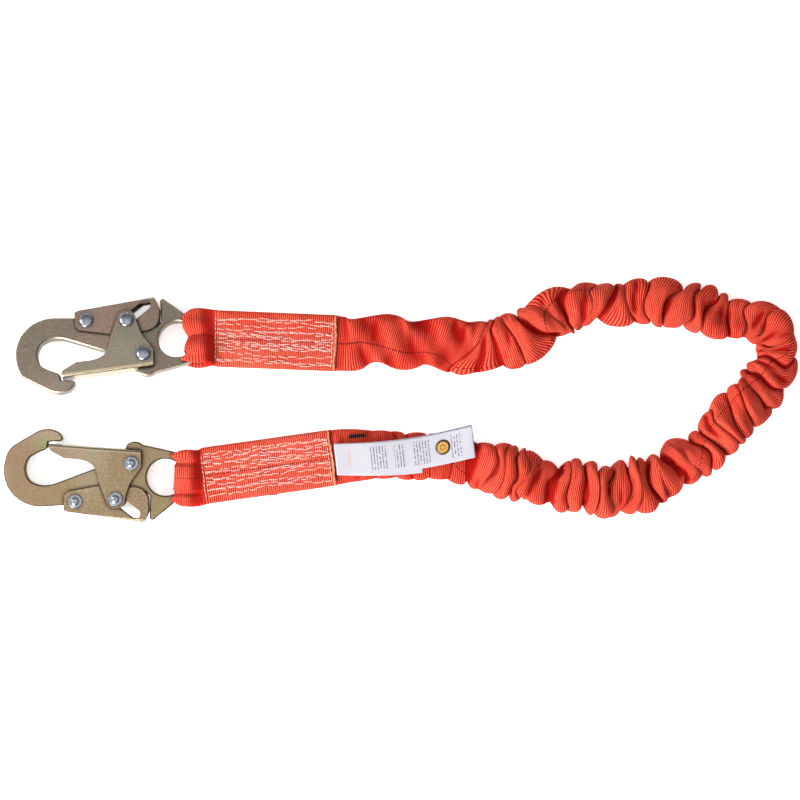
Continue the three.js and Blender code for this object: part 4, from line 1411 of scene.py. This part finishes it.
@dataclass
class Hook:
    """A double-locking snap hook: forged body, pressed gate and lock lever, rivets and springs."""

    number: int
    finishes: Finishes
    bend: float = 2.5 * MM
    edge: float = 0.6 * MM
    sheet_edge: float = 0.55 * MM
    head_radius: float = 5.0 * MM
    gate_head: float = 8.05 * MM
    lever_head: float = 6.15 * MM

    def __post_init__(self) -> None:
        """Finds the hook's own frame: origin on the webbing's bar, +X to the webbing."""
        self.name = f"hook_{self.number}"
        bar = Vector(joint(f"{self.name}_swing")["pos_m"])
        hinge = Vector(joint(f"{self.name}_swing")["axis"])
        across = -Vector(joint(f"{self.name}_gate_open")["axis"])
        side = hinge if self.number == 1 else -hinge
        x = side.cross(across)
        turn = Matrix((x, side, across)).transposed()
        self.frame = Matrix.Translation(bar) @ turn.to_4x4()

    def build(self) -> list[bpy.types.Object]:
        """Makes and dresses the hook's pieces.

        Returns:
            The pieces.
        """
        made = [
            self.metal("body", self.finishes.body[self.number], None, "frame"),
            self.metal("gate", self.finishes.gate[self.number], -1, "gate"),
            self.metal("lock_lever", self.finishes.lever[self.number], 1, "lever"),
            self.rivet("gate_rivet", 2.6 * MM, self.gate_head, "frame"),
            self.rivet("lever_rivet", 2.6 * MM, self.lever_head, "frame"),
            self.rivet("lock_pin", 3.2 * MM, self.gate_head, "gate"),
        ]
        for spring in ("gate_spring", "lever_spring"):
            node = frame["nodes"][f"{self.name}_{spring}"]
            node.material_slots[0].material = self.finishes.spring
        return made

    def metal(
        self, part: str, finish: bpy.types.Material, web: int | None, body: str
    ) -> bpy.types.Object:
        """A steel piece with its edges broken, and its sheet's long bends rounded.

        Args:
            part: the piece's name within the hook.
            finish: its material.
            web: the side of the hook, +1 or -1 in Y, that a pressed piece's web is on, or None.
            body: the body that it rides on, within the hook.

        Returns:
            The piece.
        """
        node = frame["nodes"][f"{self.name}_{part}"]
        mesh = node.data.copy()
        piece = linked(f"{self.name}_{part}_steel", mesh)
        mesh.materials.clear()
        for look in (finish, self.finishes.bend, self.finishes.rim):
            mesh.materials.append(look)
        work = bmesh.new()
        work.from_mesh(mesh)
        bmesh.ops.remove_doubles(work, verts=work.verts, dist=0.01 * MM)
        bmesh.ops.dissolve_limit(work, angle_limit=math.radians(1), verts=work.verts, edges=work.edges)
        work.to_mesh(mesh)
        work.free()
        if web is not None:
            self.round_bends(piece, web)
        modifier = piece.modifiers.new("edges", "BEVEL")
        modifier.limit_method = "ANGLE"
        modifier.angle_limit = math.radians(32)
        modifier.width = self.edge if web is None else self.sheet_edge
        modifier.segments = 2
        plain_edge = part == "body" and self.number == 1
        modifier.material = OWN_FINISH if plain_edge else RIM
        piece.data.shade_smooth()
        flat = piece.modifiers.new("flat_faces", "WEIGHTED_NORMAL")
        flat.mode = "FACE_AREA"
        settle(piece)
        if part == "body" and self.number == 2:
            into = self.frame.inverted().to_3x3()
            for face in piece.data.polygons:
                if CHAMFER_LEAN[0] < abs((into @ face.normal).z) < CHAMFER_LEAN[1]:
                    face.material_index = RIM
        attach(piece, f"{self.name}_{body}")
        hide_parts(f"{self.name}_{part}")
        return piece

    def round_bends(self, piece: bpy.types.Object, web: int) -> None:
        """Rounds the outer corners where a pressed channel's web turns into its cheeks, and gives the bends
        and the web the lighter painted-highlight finish.

        Args:
            piece: the channel.
            web: the side that the web is on, +1 or -1 in the hook's Y.
        """
        into = self.frame.inverted().to_3x3()
        activate(piece)
        bpy.ops.object.mode_set(mode="EDIT")
        work = bmesh.from_edit_mesh(piece.data)
        reach = max(abs((self.frame.inverted() @ vert.co).z) for vert in work.verts)
        for edge in work.edges:
            edge.select = False
            if len(edge.link_faces) != 2:
                continue
            normals = [into @ face.normal for face in edge.link_faces]
            depths = [abs((self.frame.inverted() @ vert.co).z) for vert in edge.verts]
            on_skin = all(abs(depth - reach) < 0.05 * MM for depth in depths)
            web_face = any(normal.y * web > FACES_AXIS for normal in normals)
            cheek = any(abs(normal.z) > FACES_AXIS for normal in normals)
            edge.select = on_skin and web_face and cheek and edge.calc_length() > 6 * MM
        bmesh.update_edit_mesh(piece.data)
        # The rounded bends take the lighter finish: painted highlight.
        bpy.ops.mesh.bevel(offset=self.bend, segments=6, affect="EDGES", material=BEND_HIGHLIGHT)
        bpy.ops.object.mode_set(mode="OBJECT")
        # The web's faces take it too: painted highlight.
        for face in piece.data.polygons:
            if (into @ face.normal).y * web > FACES_AXIS:
                face.material_index = BEND_HIGHLIGHT

    def rivet(self, part: str, shank: float, head: float, body: str) -> bpy.types.Object:
        """A rivet turned from a bar: a shank with a rimmed, dimpled dome at both ends.

        Args:
            part: the piece's name within the hook.
            shank: the shank's radius.
            head: height of the heads' flat sides above the hook's middle plane.
            body: the body that it rides on, within the hook.

        Returns:
            The rivet.
        """
        low, high = (Vector(corner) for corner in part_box(f"{self.name}_{part}"))
        centre = self.frame.inverted() @ ((low + high) / 2)
        deselect()
        bpy.ops.mesh.primitive_cylinder_add(vertices=40, radius=shank, depth=2 * head)
        piece = bpy.context.object
        piece.name = f"{self.name}_{part}_steel"
        profiles = {
            Side.TOP: ((1.0, 0.0), (1.0, 0.45), (0.93, 0.80), (0.82, 1.10), (0.66, 1.42), (0.44, 1.62),
                       (0.18, 1.70)),
            Side.BOTTOM: ((1.0, 0.0), (1.0, 0.50), (0.93, 0.62), (0.62, 0.60), (0.56, 0.72), (0.50, 1.15),
                          (0.42, 1.42), (0.26, 1.58), (0.10, 1.62)),
        }
        bpy.ops.object.mode_set(mode="EDIT")
        for side in Side:
            bpy.ops.mesh.select_all(action="DESELECT")
            work = bmesh.from_edit_mesh(piece.data)
            for face in work.faces:
                face.select = face.calc_center_median().z * side.value > 0.999 * head
            bmesh.update_edit_mesh(piece.data)
            last, level = shank / self.head_radius, 0.0
            for radius, height in profiles[side]:
                rise = side.value * (height - level) * MM
                bpy.ops.mesh.extrude_region_move(TRANSFORM_OT_translate={"value": (0, 0, rise)})
                bpy.ops.transform.resize(value=(radius / last, radius / last, 1.0))
                last, level = radius, height
        bpy.ops.object.mode_set(mode="OBJECT")
        piece.matrix_world = self.frame @ Matrix.Translation((centre.x, centre.y, 0))
        piece.data.materials.append(self.finishes.rivet)
        settle(piece)
        bpy.ops.object.shade_smooth_by_angle(angle=math.radians(34))
        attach(piece, f"{self.name}_{body}")
        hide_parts(f"{self.name}_{part}")
        return piece


# ---- label and straps ------------------------------------------------------------------------
@dataclass
class Label:
    """Three leaves of film sewn at their left edge, and the printed disc on the top one."""

    finishes: Finishes
    length: float = 101 * MM
    width: float = 23 * MM
    short: float = 62 * MM
    film: float = 0.25 * MM
    disc_place: tuple[float, float] = (78.3 * MM, 1.0 * MM)
    disc_radius: float = 5.5 * MM

    def __post_init__(self) -> None:
        """Finds the sewn edge's frame."""
        row = joint("label_lift")
        hinge = -Vector(row["axis"])
        self.frame = frame_of(Vector(row["pos_m"]), hinge.cross(Vector((0, 0, 1))), Vector((0, 0, 1)))

    def lie(self, x: np.ndarray, y: np.ndarray, leaf: int) -> np.ndarray:
        """Where a leaf's points lie: over the jacket's swell, bowed sideways, its end lifting a little.

        Args:
            x: metres from the sewn edge.
            y: metres from the leaf's middle line.
            leaf: 0 for the lowest.

        Returns:
            The points.
        """
        share = x / self.length
        fan = (0.9, -5.0, 0.0)[leaf] * MM
        bow = -3.4 * MM * np.sin(math.pi * share) + 2.0 * MM * share
        rise = 0.3 * MM + leaf * 0.75 * MM + 3.4 * MM * smoothstep(share, 0.05, 0.6)
        rise = rise + 0.9 * MM * np.sin(share * 7.0 + 0.8) * smoothstep(share, 0.1, 0.4)
        curl = (y / (self.width / 2)) ** 2 * (0.8 * MM * np.sin(share * 5 + leaf) * smoothstep(share, 0, 0.3))
        lift = (0.0, -0.1, 1.2)[leaf] * MM * smoothstep(share, 0.8, 1.0)
        local = np.stack([x + 2.6 * MM, y + bow + fan * share, rise + curl + lift], -1)
        return laid(local, self.frame)

    def build(self) -> list[bpy.types.Object]:
        """Makes the leaves and the disc.

        Returns:
            The pieces.
        """
        made = [self.leaf(number) for number in range(3)]
        made.append(self.disc())
        return made

    def leaf(self, number: int) -> bpy.types.Object:
        """One leaf of film.

        Args:
            number: 0 for the lowest.

        Returns:
            The leaf.
        """
        length = self.short if number == 1 else self.length
        x, y = np.meshgrid(np.linspace(0, length, 90), np.linspace(-self.width / 2, self.width / 2, 24),
                           indexing="ij")
        cloth = np.stack([x, y + self.width / 2], -1)
        finish = self.finishes.film if number == 2 else self.finishes.leaf
        name = f"label_leaf_{number + 1}_film"
        piece = grid_piece(name, self.lie(x, y, number), cloth, False, False, finish)
        modifier = piece.modifiers.new("film", "SOLIDIFY")
        modifier.thickness = self.film
        modifier.offset = 0.0
        settle(piece)
        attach(piece, "label")
        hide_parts(f"label_leaf_{number + 1}")
        return piece

    def disc(self) -> bpy.types.Object:
        """The printed disc, a thin sticker that follows the top leaf.

        Returns:
            The disc.
        """
        radii = np.array([1.0, 1.0, 0.7, 0.4, 0.1]) * self.disc_radius
        lift = np.array([0.06, 0.20, 0.24, 0.24, 0.24]) * MM + self.film / 2
        angle = np.arange(48) / 48 * 2 * math.pi
        x = radii[:, None] * np.cos(angle)
        y = radii[:, None] * np.sin(angle)
        points = self.lie(x + self.disc_place[0], y + self.disc_place[1], 2)
        points[..., 2] += lift[:, None]
        uv = np.stack([np.hstack([x, x[:, :1]]), np.hstack([y, y[:, :1]])], -1)
        piece = grid_piece("label_disc_print", points, uv, True, True, self.finishes.disc)
        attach(piece, "label")
        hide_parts("label_disc")
        return piece


@dataclass
class InnerStraps:
    """The tear-out core and the elastic inside the jacket, and the bits of elastic that show."""

    finishes: Finishes
    jacket: Jacket

    def build(self) -> list[bpy.types.Object]:
        """Makes the inner straps and the elastic's two showing ends.

        Returns:
            The pieces.
        """
        core, elastic = self.finishes.core, self.finishes.elastic
        return [
            self.strap("core_strap", "shock_core", core, (0.12, 0.55), 24, 2.2),
            self.strap("elastic_band", "elastic_strap", elastic, (0.64, 0.86), 20, 1.2),
            self.tongue("elastic_tongue_1", (85.0, -19.3, 8.2), 12, 2.4, 5),
            self.tongue("elastic_tongue_2", (24.0, -61.3, 5.2), 7, 2.6, 6),
        ]

    def strap(
        self, name: str, node: str, finish: bpy.types.Material,
        layer: tuple[float, float], width: float, thick: float,
    ) -> bpy.types.Object:
        """A flat strap that runs inside the jacket, drawn in where the jacket is gathered tight.

        Args:
            name: its name.
            node: the solid that it stands for.
            finish: its material.
            layer: shares of the jacket's inner height between which it lies.
            width: its full width in millimetres.
            thick: its full thickness in millimetres.

        Returns:
            The strap.
        """
        room = self.jacket
        tall = room.roof - room.ground
        half = np.minimum(width / 2, 0.35 * (room.left - room.right) - 0.6)
        low = room.ground + layer[0] * tall
        high = np.minimum(low + thick, room.ground + layer[1] * tall)
        soft = 0.25 * (high - low)
        sides = [half, half, half - soft, soft - half, -half, -half, soft - half, half - soft]
        rises = [low + soft, high - soft, high, high, high - soft, low + soft, low, low]
        side = np.stack(sides, -1) + ((room.left + room.right) / 2)[:, None]
        run = np.repeat(room.marks[:, None], len(sides), axis=1) * MM
        route = Route(JACKET_ROUTE, 0.0)
        points = route.at(run) + route.across(run) * (side * MM)[..., None]
        points[..., 2] = np.stack(rises, -1) * MM
        around = np.linspace(0, 2 * width * MM, len(sides) + 1)
        cloth = np.stack([np.repeat(run[:, :1], len(around), axis=1), np.tile(around, (len(run), 1))], -1)
        piece = grid_piece(name, points, cloth, True, True, finish)
        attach(piece, "webbing")
        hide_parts(node)
        return piece

    def tongue(
        self, name: str, place: tuple[float, float, float], length: float, width: float, turn: float
    ) -> bpy.types.Object:
        """A short end of flat elastic.

        Args:
            name: its name.
            place: its middle, in millimetres.
            length: millimetres.
            width: millimetres.
            turn: degrees about Z.

        Returns:
            The piece.
        """
        deselect()
        bpy.ops.mesh.primitive_cube_add(size=1, location=[v * MM for v in place],
                                        rotation=(0, 0, math.radians(turn)))
        piece = bpy.context.object
        piece.name = name
        piece.scale = (length * MM, width * MM, 1.3 * MM)
        bpy.ops.object.transform_apply(location=False, rotation=False, scale=True)
        bpy.ops.object.mode_set(mode="EDIT")
        bpy.ops.mesh.select_all(action="SELECT")
        bpy.ops.mesh.bevel(offset=0.5 * MM, segments=3, affect="EDGES")
        bpy.ops.object.mode_set(mode="OBJECT")
        piece.data.materials.append(self.finishes.elastic)
        settle(piece)
        bpy.ops.object.shade_smooth_by_angle(angle=math.radians(40))
        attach(piece, "webbing")
        return piece


def main() -> None:
    """Builds the lanyard's looks in order."""
    logging.basicConfig(level=logging.INFO)
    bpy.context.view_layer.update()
    Studio().build()
    finishes = Finishes()
    jacket = Jacket(finishes)
    made = [jacket.build()]
    for number in (1, 2):
        end = SewnEnd(number, finishes)
        made += [end.build(), Stitching(end, finishes).build()]
        made += Hook(number, finishes).build()
    made += Label(finishes).build()
    made += InnerStraps(finishes, jacket).build()
    for piece in made:
        log.info("%s: %d faces", piece.name, len(piece.data.polygons))


if __name__ == "__main__":
    main()
